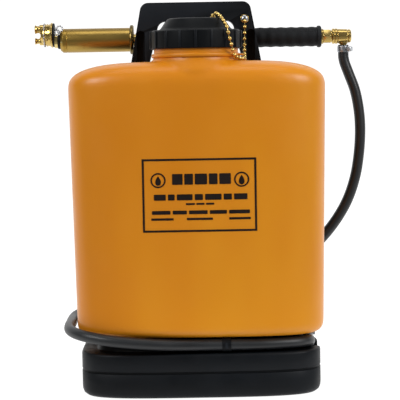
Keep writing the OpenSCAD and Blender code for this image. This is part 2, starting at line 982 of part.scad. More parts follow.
module piston() {
    color("#a8873f")
    at_pump()
        difference() {
            union() {
                tube_x(piston_x - 12, piston_x + piston_l, rod_bore, 7);
                tube_x(piston_x - 4, piston_x - 1, cyl_bore - 0.6, 7);
                tube_x(piston_x + piston_l - 3, piston_x + piston_l, cyl_bore - 0.6, 7);
            }
            translate([piston_x - 20, 0, 0])
                rotate([0, 90, 0])
                    cylinder(h = 60, d = 7, $fn = 64);
        }
}

module piston_cups() {
    color("saddlebrown")
    at_pump() {
        tube_x(piston_x - 1, piston_x + 4, cyl_bore - 2 * run, rod_bore + 0.02);
        tube_x(piston_x + 5, piston_x + piston_l - 3, cyl_bore - 2 * run, rod_bore + 0.02);
    }
}

module front_sleeve() {
    color("#9c8040")
    at_pump()
        turned_x([
            [sleeve_x0, rod_od / 2 + 1], [sleeve_x0, sleeve_od / 2 - 3],
            [sleeve_x0 + 4, sleeve_od / 2], [sleeve_x1, sleeve_od / 2],
            [sleeve_x1, sleeve_od / 2 - 1.6], [sleeve_x0 + 5, sleeve_od / 2 - 1.6],
            [sleeve_x0 + 3, sleeve_od / 2 - 4], [sleeve_x0 + 3, rod_od / 2 + 1]
        ]);
}

module hand_flange() {
    color("#a8873f")
    at_pump()
        difference() {
            union() {
                tube_x(sleeve_x1, flange_x1 - 1, flange_od, rod_od);
                tube_x(flange_x1 - 1.5, flange_x1, flange_od - 3, rod_od);
                tube_x(sleeve_x1 - 5, sleeve_x1 + 1, sleeve_od - 3.2, rod_od);
            }
            translate([sleeve_x1 - 6, 0, 0])
                rotate([0, 90, 0])
                    cylinder(h = 40, d = rod_od, $fn = 96);
        }
}

module sleeve_plug() {
    color("#a8873f")
    at_pump()
        difference() {
            union() {
                tube_x(sleeve_x0, sleeve_x0 + 4, rod_od + 2, 8);
                tube_x(sleeve_x0 - 4.4, sleeve_x0, 17, 8);
                tube_x(sleeve_x0 + 4, sleeve_x0 + 10, rod_bore, 8);
            }
            translate([sleeve_x0 - 10, 0, 0])
                rotate([0, 90, 0])
                    cylinder(h = 60, d = 8, $fn = 64);
        }
}

module sleeve_washer() {
    color("#1c1c1e")
    at_pump()
        tube_x(sleeve_x0 - 4, sleeve_x0 - 0.1, 24, 17);
}

module discharge_cage() {
    color("#a8873f")
    ball_cage(discharge_seat_x, rod_bore, 7.4);
}

module discharge_ball() {
    valve_ball(discharge_seat_x, 7.4);
}

module nozzle_ring() {
    color("#b59a52")
    difference() {
        at_pump()
            tube_x(sleeve_x0 - 8.7, sleeve_x0 - 4.4, 21, 8);
        // The head's pivot turns in this hole
        at_head()
            translate([sleeve_x0 - 10, 0, 0])
                rotate([0, 90, 0])
                    cylinder(h = 10, d = pivot_d + 2 * run, $fn = 48);
    }
}

// --- nozzle head -----------------------------------------------------------------------

module nozzle_washer() {
    color("#1c1c1e")
    at_head()
        difference() {
            tube_x(head_x + 0.4, sleeve_x0 - 8.9, head_od - 2, pivot_d);
            for (s = [-1, 1])
                translate([head_x - 1, 0, s * head_offset])
                    rotate([0, 90, 0])
                        cylinder(h = 6, d = port_d, $fn = 64);
        }
}

module nozzle_head() {
    color("#a8873f")
    at_head()
        difference() {
            union() {
                turned_x([
                    [head_x, 0], [head_x, head_od / 2], [head_x - 2.4, head_od / 2],
                    [head_x - 4, head_od / 2 - 3], [head_x - 9, head_od / 2 - 5.5],
                    [head_x - 13, head_od / 2 - 6.5], [head_x - 15, 9], [head_x - 15, 0]
                ]);
                for (s = [-1, 1])
                    translate([head_x - 16.5, 0, s * head_offset])
                        rotate([0, 90, 0])
                            cylinder(h = 10, d = s > 0 ? 13 : 10, $fn = 64);
            }
            translate([head_x - 5, 0, 0])
                rotate([0, 90, 0])
                    cylinder(h = 20, d = pivot_d, $fn = 64);
            for (s = [-1, 1])
                translate([head_x - 30, 0, s * head_offset])
                    rotate([0, 90, 0])
                        cylinder(h = 60, d = port_d, $fn = 64);
        }
}

// A flared nozzle tip with a bore
module tip(offset, mouth, bore) {
    x0 = head_x - 16.5;
    at_head()
        translate([0, 0, offset])
            difference() {
                turned_x([
                    [x0 + 7, 0], [x0 + 7, 3], [x0, 3], [x0, mouth / 2 - 1.2],
                    [x0 - 3, mouth / 2 - 1.8], [tip_x + 2, mouth / 2 - 0.4],
                    [tip_x + 0.6, mouth / 2], [tip_x, mouth / 2 - 0.6], [tip_x, 0]
                ]);
                translate([tip_x - 5, 0, 0])
                    rotate([0, 90, 0])
                        cylinder(h = 40, d = bore, $fn = 64);
            }
}

module stream_tip() {
    color("#b59a52")
    tip(head_offset, 11.5, stream_bore);
}

module spray_tip() {
    color("#b59a52")
    tip(-head_offset, 8.5, spray_bore);
}

module nozzle_pivot() {
    color("#b59a52")
    at_head()
        translate([head_x - 5, 0, 0])
            rotate([0, 90, 0])
                cylinder(h = 11, d = pivot_d, $fn = 64);
}

module nozzle_chain() {
    turns = 30;
    chain_ring_r = 16.6;
    color("silver")
    at_head()
        for (i = [0:turns - 1])
            let (a = 360 * i / turns)
            translate([head_x - 12, chain_ring_r * cos(a), chain_ring_r * sin(a)])
                sphere(d = 2.4, $fn = 16);
}

tank_shell();
fill_strainer();
label_plate();
back_frame();
base_box();
frame_bolts();
pump_hook_left();
pump_hook_right();
hook_rivets();
outlet_elbow();
outlet_gasket();
outlet_locknut();
outlet_strainer();
lower_clamp_band();
lower_clamp_screw();
hose_clip();
hose();
chain_screw();
cap_chain();
strap_left();
strap_right();
shoulder_pad_left();
shoulder_pad_right();
strap_buckles();
cap_gasket();
cap_shell();
chain_rivet();
pump_cylinder();
rubber_grip();
gland_nut();
gland_packing();
rear_nut();
rear_collar();
inlet_elbow();
hose_cuff();
inlet_cage();
inlet_ball();
upper_clamp_band();
upper_clamp_screw();
plunger_tube();
piston();
piston_cups();
front_sleeve();
hand_flange();
sleeve_plug();
sleeve_washer();
discharge_cage();
discharge_ball();
nozzle_ring();
nozzle_washer();
nozzle_head();
stream_tip();
spray_tip();
nozzle_pivot();
nozzle_chain();
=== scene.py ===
"""Looks of a backpack fire pump: an orange moulded tank on a black base, a black back frame
with a carrying handle, a brass slide pump behind it, and the black rubber hose round it all.

Sizes are in millimetres and are turned into metres as each mesh is made.
"""

import math

import bmesh
import bpy
import numpy as np
from mathutils import Euler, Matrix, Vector


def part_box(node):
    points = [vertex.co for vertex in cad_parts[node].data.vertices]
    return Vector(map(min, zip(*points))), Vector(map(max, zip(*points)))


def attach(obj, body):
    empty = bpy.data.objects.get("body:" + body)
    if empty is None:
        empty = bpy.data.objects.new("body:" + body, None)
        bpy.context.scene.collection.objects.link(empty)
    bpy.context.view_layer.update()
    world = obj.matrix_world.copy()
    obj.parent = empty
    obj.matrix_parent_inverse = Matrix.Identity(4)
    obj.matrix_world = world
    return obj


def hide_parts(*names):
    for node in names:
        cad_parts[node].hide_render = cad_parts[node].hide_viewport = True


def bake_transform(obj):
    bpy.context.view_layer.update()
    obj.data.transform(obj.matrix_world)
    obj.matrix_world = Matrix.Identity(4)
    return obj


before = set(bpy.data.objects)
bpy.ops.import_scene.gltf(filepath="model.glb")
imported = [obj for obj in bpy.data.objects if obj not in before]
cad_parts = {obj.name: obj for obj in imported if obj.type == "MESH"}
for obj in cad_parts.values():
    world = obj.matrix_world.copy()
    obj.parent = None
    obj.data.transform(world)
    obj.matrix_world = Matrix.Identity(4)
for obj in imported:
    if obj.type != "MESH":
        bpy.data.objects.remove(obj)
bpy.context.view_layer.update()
MM = 0.001


def low(node):
    """The lowest corner of a CAD node, in millimetres."""
    return [v * 1000 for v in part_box(node)[0]]


def high(node):
    """The highest corner of a CAD node, in millimetres."""
    return [v * 1000 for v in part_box(node)[1]]


def middle(node):
    """The middle of a CAD node's box, in millimetres."""
    return [(a + b) / 2 for a, b in zip(low(node), high(node))]


def size(node, axis):
    return high(node)[axis] - low(node)[axis]


# --- driving places, read from the frame ---------------------------------------------------
TANK_LOW, TANK_HIGH = low("tank_shell"), high("tank_shell")
TANK_W = TANK_HIGH[0] - TANK_LOW[0]
TANK_D = TANK_HIGH[1] - TANK_LOW[1]
MID_Y = (TANK_HIGH[1] + TANK_LOW[1]) / 2
TANK_Z = TANK_LOW[2]
CAP_Y = middle("cap_gasket")[1]
CAP_Z, CAP_TOP = low("cap_shell")[2], high("cap_shell")[2]
FRAME_Y, FRAME_BACK = low("back_frame")[1], high("back_frame")[1]
PUMP_Y, PUMP_Z = middle("pump_cylinder")[1], middle("pump_cylinder")[2]
HEAD_Z = middle("nozzle_pivot")[2]
HOSE_R = size("hose_cuff", 0) / 2
BRANCH_X = middle("hose_cuff")[0]
OUTLET_X, OUTLET_Z = 151, 68
CLIP_Y = -74
# Middles of the frame's legs' feet and of the straps, left and right of the middle
LEG_FOOT, LEG_FOOT_Z, STRAP_X = 86, 448, 87

# --- small helpers for meshes --------------------------------------------------------------


def unit(v):
    v = np.asarray(v, float)
    return v / max(np.linalg.norm(v), 1e-9)


def rounded(points, radius, steps=4, closed=True):
    """An outline with each of its corners turned into an arc."""
    out, n = [], len(points)
    for i in range(n):
        p = np.array(points[i], float)
        if not closed and i in (0, n - 1):
            out.append(tuple(p))
            continue
        a, b = np.array(points[i - 1], float), np.array(points[(i + 1) % n], float)
        to_a, to_b = unit(a - p), unit(b - p)
        half = math.acos(max(-1, min(1, float(to_a @ to_b)))) / 2
        if half > math.radians(88) or half < math.radians(2):
            out.append(tuple(p))
            continue
        room = 0.48 * min(np.linalg.norm(a - p), np.linalg.norm(b - p))
        cut = min(radius / math.tan(half), room)
        r = cut * math.tan(half)
        start, middle_way = p + to_a * cut, unit(to_a + to_b)
        centre = p + middle_way * (r / math.sin(half))
        end = p + to_b * cut
        for k in range(steps + 1):
            way = unit((start - centre) * (1 - k / steps) + (end - centre) * (k / steps))
            out.append(tuple(centre + way * r))
    return out


def object_of(name, verts, faces, material, smooth=True, uvs=None):
    """A mesh object at the origin, from points in millimetres, with its normals outward."""
    mesh = bpy.data.meshes.new(name)
    mesh.from_pydata([tuple(c * MM for c in v) for v in verts], [], faces)
    if uvs is not None:
        layer = mesh.uv_layers.new(name="UVMap")
        for loop in mesh.loops:
            layer.data[loop.index].uv = uvs[loop.vertex_index]
    bm = bmesh.new()
    bm.from_mesh(mesh)
    if uvs is None:
        bmesh.ops.remove_doubles(bm, verts=bm.verts, dist=1e-7)
    bmesh.ops.recalc_face_normals(bm, faces=bm.faces)
    bm.to_mesh(mesh)
    bm.free()
    if material:
        mesh.materials.append(material)
    mesh.shade_smooth() if smooth else mesh.shade_flat()
    piece = bpy.data.objects.new(name, mesh)
    bpy.context.scene.collection.objects.link(piece)
    return piece


def sharpen(piece, angle=35):
    """Shades a piece smooth, apart from edges that turn by more than an angle."""
    piece.data.shade_smooth()
    piece.data.set_sharp_from_angle(angle=math.radians(angle))
    return piece


def bake(piece):
    """Turns a piece's modifiers into its own plain mesh."""
    graph = bpy.context.evaluated_depsgraph_get()
    graph.update()
    mesh = bpy.data.meshes.new_from_object(piece.evaluated_get(graph))
    piece.modifiers.clear()
    old, piece.data = piece.data, mesh
    bpy.data.meshes.remove(old)
    return piece


def join(name, pieces):
    """One object from several, each keeping its own materials."""
    materials = []
    for p in pieces:
        for m in p.data.materials:
            if m not in materials:
                materials.append(m)
    bm = bmesh.new()
    for p in pieces:
        first = len(bm.faces)
        bm.from_mesh(p.data)
        bm.faces.ensure_lookup_table()
        for f in bm.faces[first:]:
            f.material_index = materials.index(p.data.materials[f.material_index])
    mesh = bpy.data.meshes.new(name)
    bm.to_mesh(mesh)
    bm.free()
    for m in materials:
        mesh.materials.append(m)
    out = bpy.data.objects.new(name, mesh)
    bpy.context.scene.collection.objects.link(out)
    for p in pieces:
        old = p.data
        bpy.data.objects.remove(p)
        bpy.data.meshes.remove(old)
    return out


def lathe(name, outline, material, centre=(0, 0, 0), axis="X", radius=0.5, segments=96):
    """A turned piece from a closed outline of (place along its axis, radius) points."""
    ring = rounded(outline, radius) if radius else outline
    verts, faces, n = [], [], len(ring)
    for k in range(segments):
        a = 2 * math.pi * k / segments
        for along, r in ring:
            r = max(r, 0)
            c, s = r * math.cos(a), r * math.sin(a)
            turned = (along, c, s) if axis == "X" else (c, s, along)
            if axis == "Y":
                turned = (c, along, s)
            verts.append([t + o for t, o in zip(turned, centre)])
    for k in range(segments):
        for i in range(n):
            a, b = k * n, ((k + 1) % segments) * n
            j = (i + 1) % n
            faces.append((a + i, a + j, b + j, b + i))
    piece = object_of(name, verts, faces, material)
    bm = bmesh.new()
    bm.from_mesh(piece.data)
    bmesh.ops.dissolve_degenerate(bm, dist=1e-7, edges=bm.edges)
    bmesh.ops.recalc_face_normals(bm, faces=bm.faces)
    bm.to_mesh(piece.data)
    bm.free()
    return sharpen(piece, 40)


def tube_outline(x0, x1, outer, bore=0.0):
    return [(x0, bore / 2), (x0, outer / 2), (x1, outer / 2), (x1, bore / 2)]


def prism(name, outline, depth0, depth1, material, plane="XZ"):
    """A flat outline pushed through from one depth to another."""
    place = {
        "XZ": lambda u, v, d: (u, d, v),
        "XY": lambda u, v, d: (u, v, d),
        "YZ": lambda u, v, d: (d, u, v),
    }[plane]
    n = len(outline)
    verts = [place(u, v, depth0) for u, v in outline] + [place(u, v, depth1) for u, v in outline]
    faces = [tuple(range(n)), tuple(range(2 * n - 1, n - 1, -1))]
    faces += [(i, (i + 1) % n, n + (i + 1) % n, n + i) for i in range(n)]
    return object_of(name, verts, faces, material, smooth=False)


def slab(name, x, y, z, material):
    """A box from three pairs of limits."""
    return prism(name, [(x[0], z[0]), (x[1], z[0]), (x[1], z[1]), (x[0], z[1])], *y, material)


def cut(piece, cutters):
    """Takes the cutters out of a piece."""
    tool = join("cutters", cutters) if len(cutters) > 1 else cutters[0]
    mod = piece.modifiers.new("cut", "BOOLEAN")
    mod.operation, mod.solver, mod.object, mod.use_self = "DIFFERENCE", "EXACT", tool, True
    bake(piece)
    bpy.data.objects.remove(tool)
    return piece


def ease(piece, width, segments=3, angle=35):
    """Rounds a piece's edges."""
    mod = piece.modifiers.new("ease", "BEVEL")
    mod.width, mod.segments, mod.limit_method = width * MM, segments, "ANGLE"
    mod.angle_limit, mod.use_clamp_overlap = math.radians(angle), True
    mod.miter_outer = "MITER_ARC"
    return sharpen(bake(piece), 50)


def smooth_line(points, steps):
    """A smooth curve through a route's points."""
    p, out = [np.array(v, float) for v in points], []
    for i in range(len(p) - 1):
        a, b, c, d = p[max(0, i - 1)], p[i], p[i + 1], p[min(len(p) - 1, i + 2)]
        for k in range(steps):
            t = k / steps
            out.append(
                0.5 * (2 * b + (c - a) * t + (2 * a - 5 * b + 4 * c - d) * t * t
                       + (3 * b - a - 3 * c + d) * t ** 3)
            )
    out.append(p[-1])
    return out


def line_frames(line):
    """The direction and two side directions of each point of a line, carried without a twist."""
    way = [unit(line[min(i + 1, len(line) - 1)] - line[max(i - 1, 0)]) for i in range(len(line))]
    side = unit(np.cross(way[0], (0.31, 0.62, 0.2)))
    out = []
    for d in way:
        side = unit(side - d * float(side @ d))
        out.append((d, side, np.cross(d, side)))
    return out


def swept(name, line, section, material, closed_ends=True):
    """A section of (side, up) points swept along a line, with a UV along and around it."""
    verts, faces, uvs, n, run = [], [], [], len(section), 0.0
    for i, (p, (_, side, up)) in enumerate(zip(line, line_frames(line))):
        run += np.linalg.norm(p - line[i - 1]) if i else 0
        for k, (a, b) in enumerate(section):
            verts.append(p + side * a + up * b)
            uvs.append((run * MM, k / n))
    for i in range(len(line) - 1):
        for k in range(n):
            a, b = i * n, (k + 1) % n
            faces.append((a + k, a + b, a + n + b, a + n + k))
    if closed_ends:
        faces.append(tuple(range(n)))
        faces.append(tuple((len(line) - 1) * n + k for k in range(n - 1, -1, -1)))
    return sharpen(object_of(name, verts, faces, material, uvs=uvs), 60)


def circle(r, n=24):
    return [(r * math.cos(2 * math.pi * k / n), r * math.sin(2 * math.pi * k / n)) for k in range(n)]


def place(piece, body, slot, *nodes):
    """Hands a finished piece to the body that it moves with, in place of its CAD nodes."""
    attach(piece, body)
    if nodes:
        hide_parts(*nodes)
    return piece


# --- small helpers for node trees -----------------------------------------------------------


def linear(code):
    """A colour given as sRGB hex, in the linear values that shaders work in."""
    parts = [int(code[i : i + 2], 16) / 255 for i in (1, 3, 5)]
    return tuple(c / 12.92 if c <= 0.04045 else ((c + 0.055) / 1.055) ** 2.4 for c in parts) + (1.0,)


def add(tree, kind, settings=None, **links):
    """Adds a node, sets its properties and inputs, and links what is another node's output."""
    node = tree.nodes.new(kind)
    for key, value in (settings or {}).items():
        setattr(node, key, value)
    for key, value in links.items():
        spot = int(key[1:]) if key[0] == "_" else key.replace("_", " ")
        if isinstance(value, bpy.types.NodeSocket):
            tree.links.new(value, node.inputs[spot])
        else:
            node.inputs[spot].default_value = value
    return node


def material(name, roughness=0.5, metallic=0.0, **shader):
    """A new material with its tree and its shader node."""
    m = bpy.data.materials.new(name)
    m.use_nodes = True
    tree = m.node_tree
    surface = tree.nodes["Principled BSDF"]
    surface.inputs["Roughness"].default_value = roughness
    surface.inputs["Metallic"].default_value = metallic
    for key, value in shader.items():
        surface.inputs[key.replace("_", " ")].default_value = value
    return m, tree, surface


def blotches(tree, scale, detail=4.0, stretch=(1, 1, 1), source="Object"):
    """Soft noise over a piece, stretched along its own axes."""
    where = add(tree, "ShaderNodeTexCoord").outputs[source]
    where = add(tree, "ShaderNodeMapping", _0=where, Scale=stretch).outputs[0]
    return add(tree, "ShaderNodeTexNoise", Vector=where, Scale=scale, Detail=detail).outputs["Fac"]


def shades(tree, fac, stops):
    """A run of colours along a value, from (place, hex) stops."""
    ramp = add(tree, "ShaderNodeValToRGB", Fac=fac)
    ramp.color_ramp.elements[0].position, ramp.color_ramp.elements[1].position = 0.0, 1.0
    while len(ramp.color_ramp.elements) < len(stops):
        ramp.color_ramp.elements.new(0.5)
    for element, (spot, code) in zip(ramp.color_ramp.elements, stops):
        element.position, element.color = spot, linear(code)
    return ramp.outputs["Color"]


def spread(tree, fac, low_value, high_value, start=0.3, end=0.7):
    """A value remapped to a range, such as a roughness."""
    return add(
        tree, "ShaderNodeMapRange", Value=fac, From_Min=start, From_Max=end,
        To_Min=low_value, To_Max=high_value,
    ).outputs["Result"]


def relief(tree, surface, *layers):
    """Bump from several (height, strength, depth in mm) layers, one on the other."""
    normal = None
    for height, strength, depth in layers:
        node = add(tree, "ShaderNodeBump", Height=height, Strength=strength, Distance=depth * MM)
        if normal:
            tree.links.new(normal, node.inputs["Normal"])
        normal = node.outputs["Normal"]
    tree.links.new(normal, surface.inputs["Normal"])


def worn_edges(tree, colour, edge_code, amount=0.5, sharp=0.62):
    """A colour with its convex edges rubbed lighter."""
    edge = add(tree, "ShaderNodeNewGeometry").outputs["Pointiness"]
    edge = add(tree, "ShaderNodeMapRange", Value=edge, From_Min=0.5, From_Max=sharp, To_Max=amount)
    mix = add(tree, "ShaderNodeMix", {"data_type": "RGBA"}, _0=edge.outputs["Result"])
    tree.links.new(colour, mix.inputs[6])
    mix.inputs[7].default_value = linear(edge_code)
    return mix.outputs[2]


# --- materials ------------------------------------------------------------------------------


def orange_hdpe():
    """Blow-moulded orange polyethylene: semi-gloss, faintly uneven, with soft upright flow bands."""
    m, tree, surface = material("orange_hdpe_blow_moulded", 0.34, Specular_IOR_Level=0.32,
                                Subsurface_Weight=0.05, Coat_Weight=0.05, Coat_Roughness=0.2)
    surface.inputs["Subsurface Radius"].default_value = (0.004, 0.002, 0.0006)
    cloud = blotches(tree, 5.0, 3, (1, 1, 0.35))
    colour = shades(tree, cloud, [(0.3, "#cc7a0c"), (0.5, "#d68512"), (0.72, "#df9318")])
    tree.links.new(worn_edges(tree, colour, "#e29a3c", 0.3), surface.inputs["Base Color"])
    bands = blotches(tree, 16.0, 2, (1, 1, 0.06))
    skin = blotches(tree, 320.0, 2)
    tree.links.new(spread(tree, blotches(tree, 22, 5), 0.30, 0.42), surface.inputs["Roughness"])
    relief(tree, surface, (bands, 0.35, 1.2), (skin, 0.08, 0.1))
    return m


def black_hdpe():
    """Moulded black polyethylene: satin, with a fine grain and grey rubbed edges."""
    m, tree, surface = material("black_hdpe_moulded", 0.42, Specular_IOR_Level=0.12)
    cloud = blotches(tree, 9.0, 5)
    colour = shades(tree, cloud, [(0.3, "#040506"), (0.55, "#07090b"), (0.8, "#0c0f13")])
    tree.links.new(worn_edges(tree, colour, "#2a2e34", 0.5), surface.inputs["Base Color"])
    tree.links.new(spread(tree, blotches(tree, 40, 6), 0.36, 0.55), surface.inputs["Roughness"])
    relief(tree, surface, (blotches(tree, 900.0, 3), 0.22, 0.12), (cloud, 0.2, 0.6))
    return m


def brass(name, codes, rough_low, rough_high, scratch, tarnish_scale=18.0, stretch=(0.4, 1, 1)):
    """Turned brass: cloudy tarnish, fine tool lines round the axis and small pits."""
    m, tree, surface = material(name, 0.3, 1.0)
    cloud = blotches(tree, tarnish_scale, 6, stretch)
    colour = shades(tree, cloud, codes)
    tree.links.new(worn_edges(tree, colour, "#e8d79a", 0.5, 0.58), surface.inputs["Base Color"])
    tree.links.new(spread(tree, cloud, rough_high, rough_low, 0.35, 0.65), surface.inputs["Roughness"])
    lines = blotches(tree, 60.0, 3, (40, 0.5, 0.5))
    pits = blotches(tree, 420.0, 2)
    dents = spread(tree, blotches(tree, 95.0, 1), 0.0, 1.0, 0.66, 0.72)
    relief(tree, surface, (lines, scratch, 0.05), (pits, 0.12, 0.06), (dents, 0.25, -0.3))
    return m


def steel(name, codes, rough=0.3):
    """Zinc-plated steel: bright, faintly spangled."""
    m, tree, surface = material(name, rough, 1.0)
    cloud = blotches(tree, 60.0, 5)
    tree.links.new(shades(tree, cloud, codes), surface.inputs["Base Color"])
    tree.links.new(spread(tree, cloud, rough - 0.08, rough + 0.14), surface.inputs["Roughness"])
    relief(tree, surface, (blotches(tree, 500.0, 3), 0.15, 0.05))
    return m


def rubber(name, codes=((0.3, "#0a0b0c"), (0.7, "#131518")), rough=(0.48, 0.66)):
    """Moulded black rubber: dull, with a fine bloom and grain."""
    m, tree, surface = material(name, 0.55, Specular_IOR_Level=0.2)
    cloud = blotches(tree, 30.0, 5)
    tree.links.new(worn_edges(tree, shades(tree, cloud, codes), "#34373b", 0.5), surface.inputs["Base Color"])
    tree.links.new(spread(tree, cloud, *rough), surface.inputs["Roughness"])
    relief(tree, surface, (blotches(tree, 700.0, 3), 0.25, 0.15))
    return m


def hose_rubber():
    """Cloth-wrapped rubber hose: the wrap has left a fine slanting weave in the black cover."""
    m, tree, surface = material("hose_rubber_cloth_wrapped", 0.4, Specular_IOR_Level=0.5)
    uv = add(tree, "ShaderNodeTexCoord").outputs["UV"]
    place_on = add(tree, "ShaderNodeMapping", _0=uv, Scale=(560, 24, 1)).outputs[0]
    warp = add(tree, "ShaderNodeTexWave", {"bands_direction": "DIAGONAL"}, Vector=place_on, Scale=0.35,
               Distortion=0.6, Detail=2.0).outputs["Fac"]
    weft = add(tree, "ShaderNodeMapping", _0=uv, Scale=(560, -24, 1)).outputs[0]
    weft = add(tree, "ShaderNodeTexWave", {"bands_direction": "DIAGONAL"}, Vector=weft, Scale=0.35,
               Distortion=0.6, Detail=2.0).outputs["Fac"]
    cloud = blotches(tree, 14.0, 5)
    tree.links.new(shades(tree, cloud, [(0.3, "#0e1012"), (0.6, "#15181b"), (0.85, "#1d2125")]),
                   surface.inputs["Base Color"])
    tree.links.new(spread(tree, cloud, 0.34, 0.5), surface.inputs["Roughness"])
    relief(tree, surface, (warp, 0.25, 0.12), (weft, 0.25, 0.12), (cloud, 0.2, 0.4))
    return m


def webbing():
    """Woven black polyester webbing, with ribs across it."""
    m, tree, surface = material("polyester_webbing_woven", 0.85, Sheen_Weight=0.4, Sheen_Roughness=0.5)
    uv = add(tree, "ShaderNodeTexCoord").outputs["UV"]
    across = add(tree, "ShaderNodeMapping", _0=uv, Scale=(1, 1, 1)).outputs[0]
    ribs = add(tree, "ShaderNodeTexWave", {"bands_direction": "X"}, Vector=across, Scale=130.0,
               Distortion=0.4, Detail=2.0).outputs["Fac"]
    cloud = blotches(tree, 90.0, 4)
    tree.links.new(shades(tree, cloud, [(0.3, "#141517"), (0.7, "#26282b")]), surface.inputs["Base Color"])
    relief(tree, surface, (ribs, 0.6, 0.5), (cloud, 0.2, 0.3))
    return m


def simple(name, code_low, code_high, rough, grain=300.0, metallic=0.0, depth=0.1, scale=30.0):
    """A plain finish with its own mottle and grain."""
    m, tree, surface = material(name, rough, metallic, Specular_IOR_Level=0.25)
    cloud = blotches(tree, scale, 4)
    tree.links.new(shades(tree, cloud, [(0.3, code_low), (0.7, code_high)]), surface.inputs["Base Color"])
    tree.links.new(spread(tree, cloud, rough - 0.06, rough + 0.08), surface.inputs["Roughness"])
    relief(tree, surface, (blotches(tree, grain, 3), 0.25, depth))
    return m


ORANGE = orange_hdpe()
BLACK = black_hdpe()
# Drawn tube: brown clouds over dull gold
AGED = brass("brass_drawn_and_dulled", [(0.3, "#6a5429"), (0.5, "#957a3e"), (0.7, "#b59a56")],
             0.16, 0.36, 0.2)
# Turned fittings: bright gold with fine rings
BRIGHT = brass("brass_turned_and_polished", [(0.25, "#a98a45"), (0.5, "#c9ab62"), (0.75, "#dcc27c")],
               0.1, 0.24, 0.25, 30.0)
# The sleeve is handled most, so its shine is broad and soft
SLEEVE = brass("brass_sleeve_dulled", [(0.3, "#75581f"), (0.5, "#96762f"), (0.72, "#b08f42")],
               0.28, 0.48, 0.25, 22.0)
# The flange has gone dark where the hand doesn't reach
FLANGE = brass("brass_flange_darkened", [(0.3, "#4d3f20"), (0.6, "#7a6534"), (0.8, "#a08a4c")],
               0.2, 0.4, 0.2, 26.0)
# Stamped beads: small bright yellow points
CHAIN_BRASS = brass("brass_ball_chain_plated", [(0.3, "#a8822c"), (0.7, "#e3b95a")], 0.18, 0.32, 0.1, 80.0)
# Zinc is bluish and soft, nickel is sharper, and the hooks are almost black
ZINC = steel("steel_zinc_plated", [(0.3, "#9a9da1"), (0.7, "#c3c6ca")], 0.28)
NICKEL = steel("steel_nickel_plated", [(0.3, "#a7a9ac"), (0.7, "#d2d3d5")], 0.18)
HOOK_STEEL = steel("steel_strip_blackened", [(0.3, "#33363a"), (0.7, "#4b4f54")], 0.42)
RUBBER = rubber("rubber_moulded_black")
HOSE = hose_rubber()
WEB = webbing()
# Knitted cover of the pads: matt, with a fine mesh
FOAM = simple("foam_pad_fabric_knitted", "#151618", "#232528", 0.9, 1400.0, 0.0, 0.3, 120.0)
# Screen ink lies on the plastic as a flat dark film
INK = simple("ink_screen_printed_black", "#120906", "#1a0d08", 0.5, 600.0, 0.0, 0.05)
# Inner parts: grey strainer, white packing and brown leather cups
GREY = simple("polypropylene_moulded_grey", "#6d7073", "#85888b", 0.5, 500.0)
PTFE = simple("packing_braided_white", "#cfcdc6", "#e4e2db", 0.6, 800.0)
LEATHER = simple("leather_pressed_oiled", "#4c2d18", "#6b4427", 0.55, 350.0, 0.0, 0.2)

# --- camera, floor and light ----------------------------------------------------------------

# A long lens about two metres off, a little above the middle of the tank and pitched down
VIEW_BACK, VIEW_UP, VIEW_SIDE = 2.2, 0.4198, 0.002
VIEW_PITCH, VIEW_ROLL = math.radians(4.0), math.radians(-1.0)
VIEW_LENS = 141.8


def camera():
    data = bpy.data.cameras.new("camera")
    data.lens, data.sensor_width, data.clip_end = VIEW_LENS, 36, 50
    eye = bpy.data.objects.new("camera", data)
    eye.location = (VIEW_SIDE, -VIEW_BACK, VIEW_UP)
    look = Euler((math.radians(90) - VIEW_PITCH, 0, 0)).to_quaternion()
    turn = Euler((0, 0, VIEW_ROLL)).to_quaternion()
    eye.rotation_mode = "QUATERNION"
    eye.rotation_quaternion = look @ turn
    bpy.context.scene.collection.objects.link(eye)
    bpy.context.scene.camera = eye


def area_light(name, where, to, width, height, watts):
    data = bpy.data.lights.new(name, "AREA")
    data.shape, data.size, data.size_y, data.energy = "RECTANGLE", width, height, watts
    lamp = bpy.data.objects.new(name, data)
    lamp.location = where
    lamp.rotation_euler = (Vector(to) - Vector(where)).to_track_quat("-Z", "Y").to_euler()
    bpy.context.scene.collection.objects.link(lamp)


def floor():
    m, tree, surface = material("paper_backdrop_matt_white", 0.9)
    mottle = blotches(tree, 3.0, 2)
    tree.links.new(shades(tree, mottle, [(0.2, "#868686"), (0.8, "#8a8a8a")]), surface.inputs["Base Color"])
    # The paper is lit from behind as well, as on a light table that ends just in front
    surface.inputs["Emission Color"].default_value = (1, 1, 1, 1)
    where = add(tree, "ShaderNodeTexCoord").outputs["Object"]
    forward = add(tree, "ShaderNodeSeparateXYZ", Vector=where).outputs["Y"]
    glow = spread(tree, forward, 0.03, 0.96, -0.28, -0.15)
    # What is seen of the paper itself is white all round, as in a cut-out
    seen = spread(tree, add(tree, "ShaderNodeLightPath").outputs["Is Camera Ray"], 0, 0.96, 0, 1)
    most = add(tree, "ShaderNodeMath", {"operation": "MAXIMUM"})
    tree.links.new(glow, most.inputs[0])
    tree.links.new(seen, most.inputs[1])
    tree.links.new(most.outputs[0], surface.inputs["Emission Strength"])
    bend, reach, far, tall = 2400, 16000, 7000, 14000
    line = [(-9000, 0), (far - bend, 0)]
    line += [(far - bend + bend * math.sin(a), bend - bend * math.cos(a))
             for a in np.linspace(0.15, math.pi / 2, 10)]
    line.append((far, tall))
    verts = [(x, y, z) for x in (-reach, reach) for y, z in line]
    n = len(line)
    faces = [(i, i + 1, n + i + 1, n + i) for i in range(n - 1)]
    sheet = object_of("backdrop", verts, faces, m)


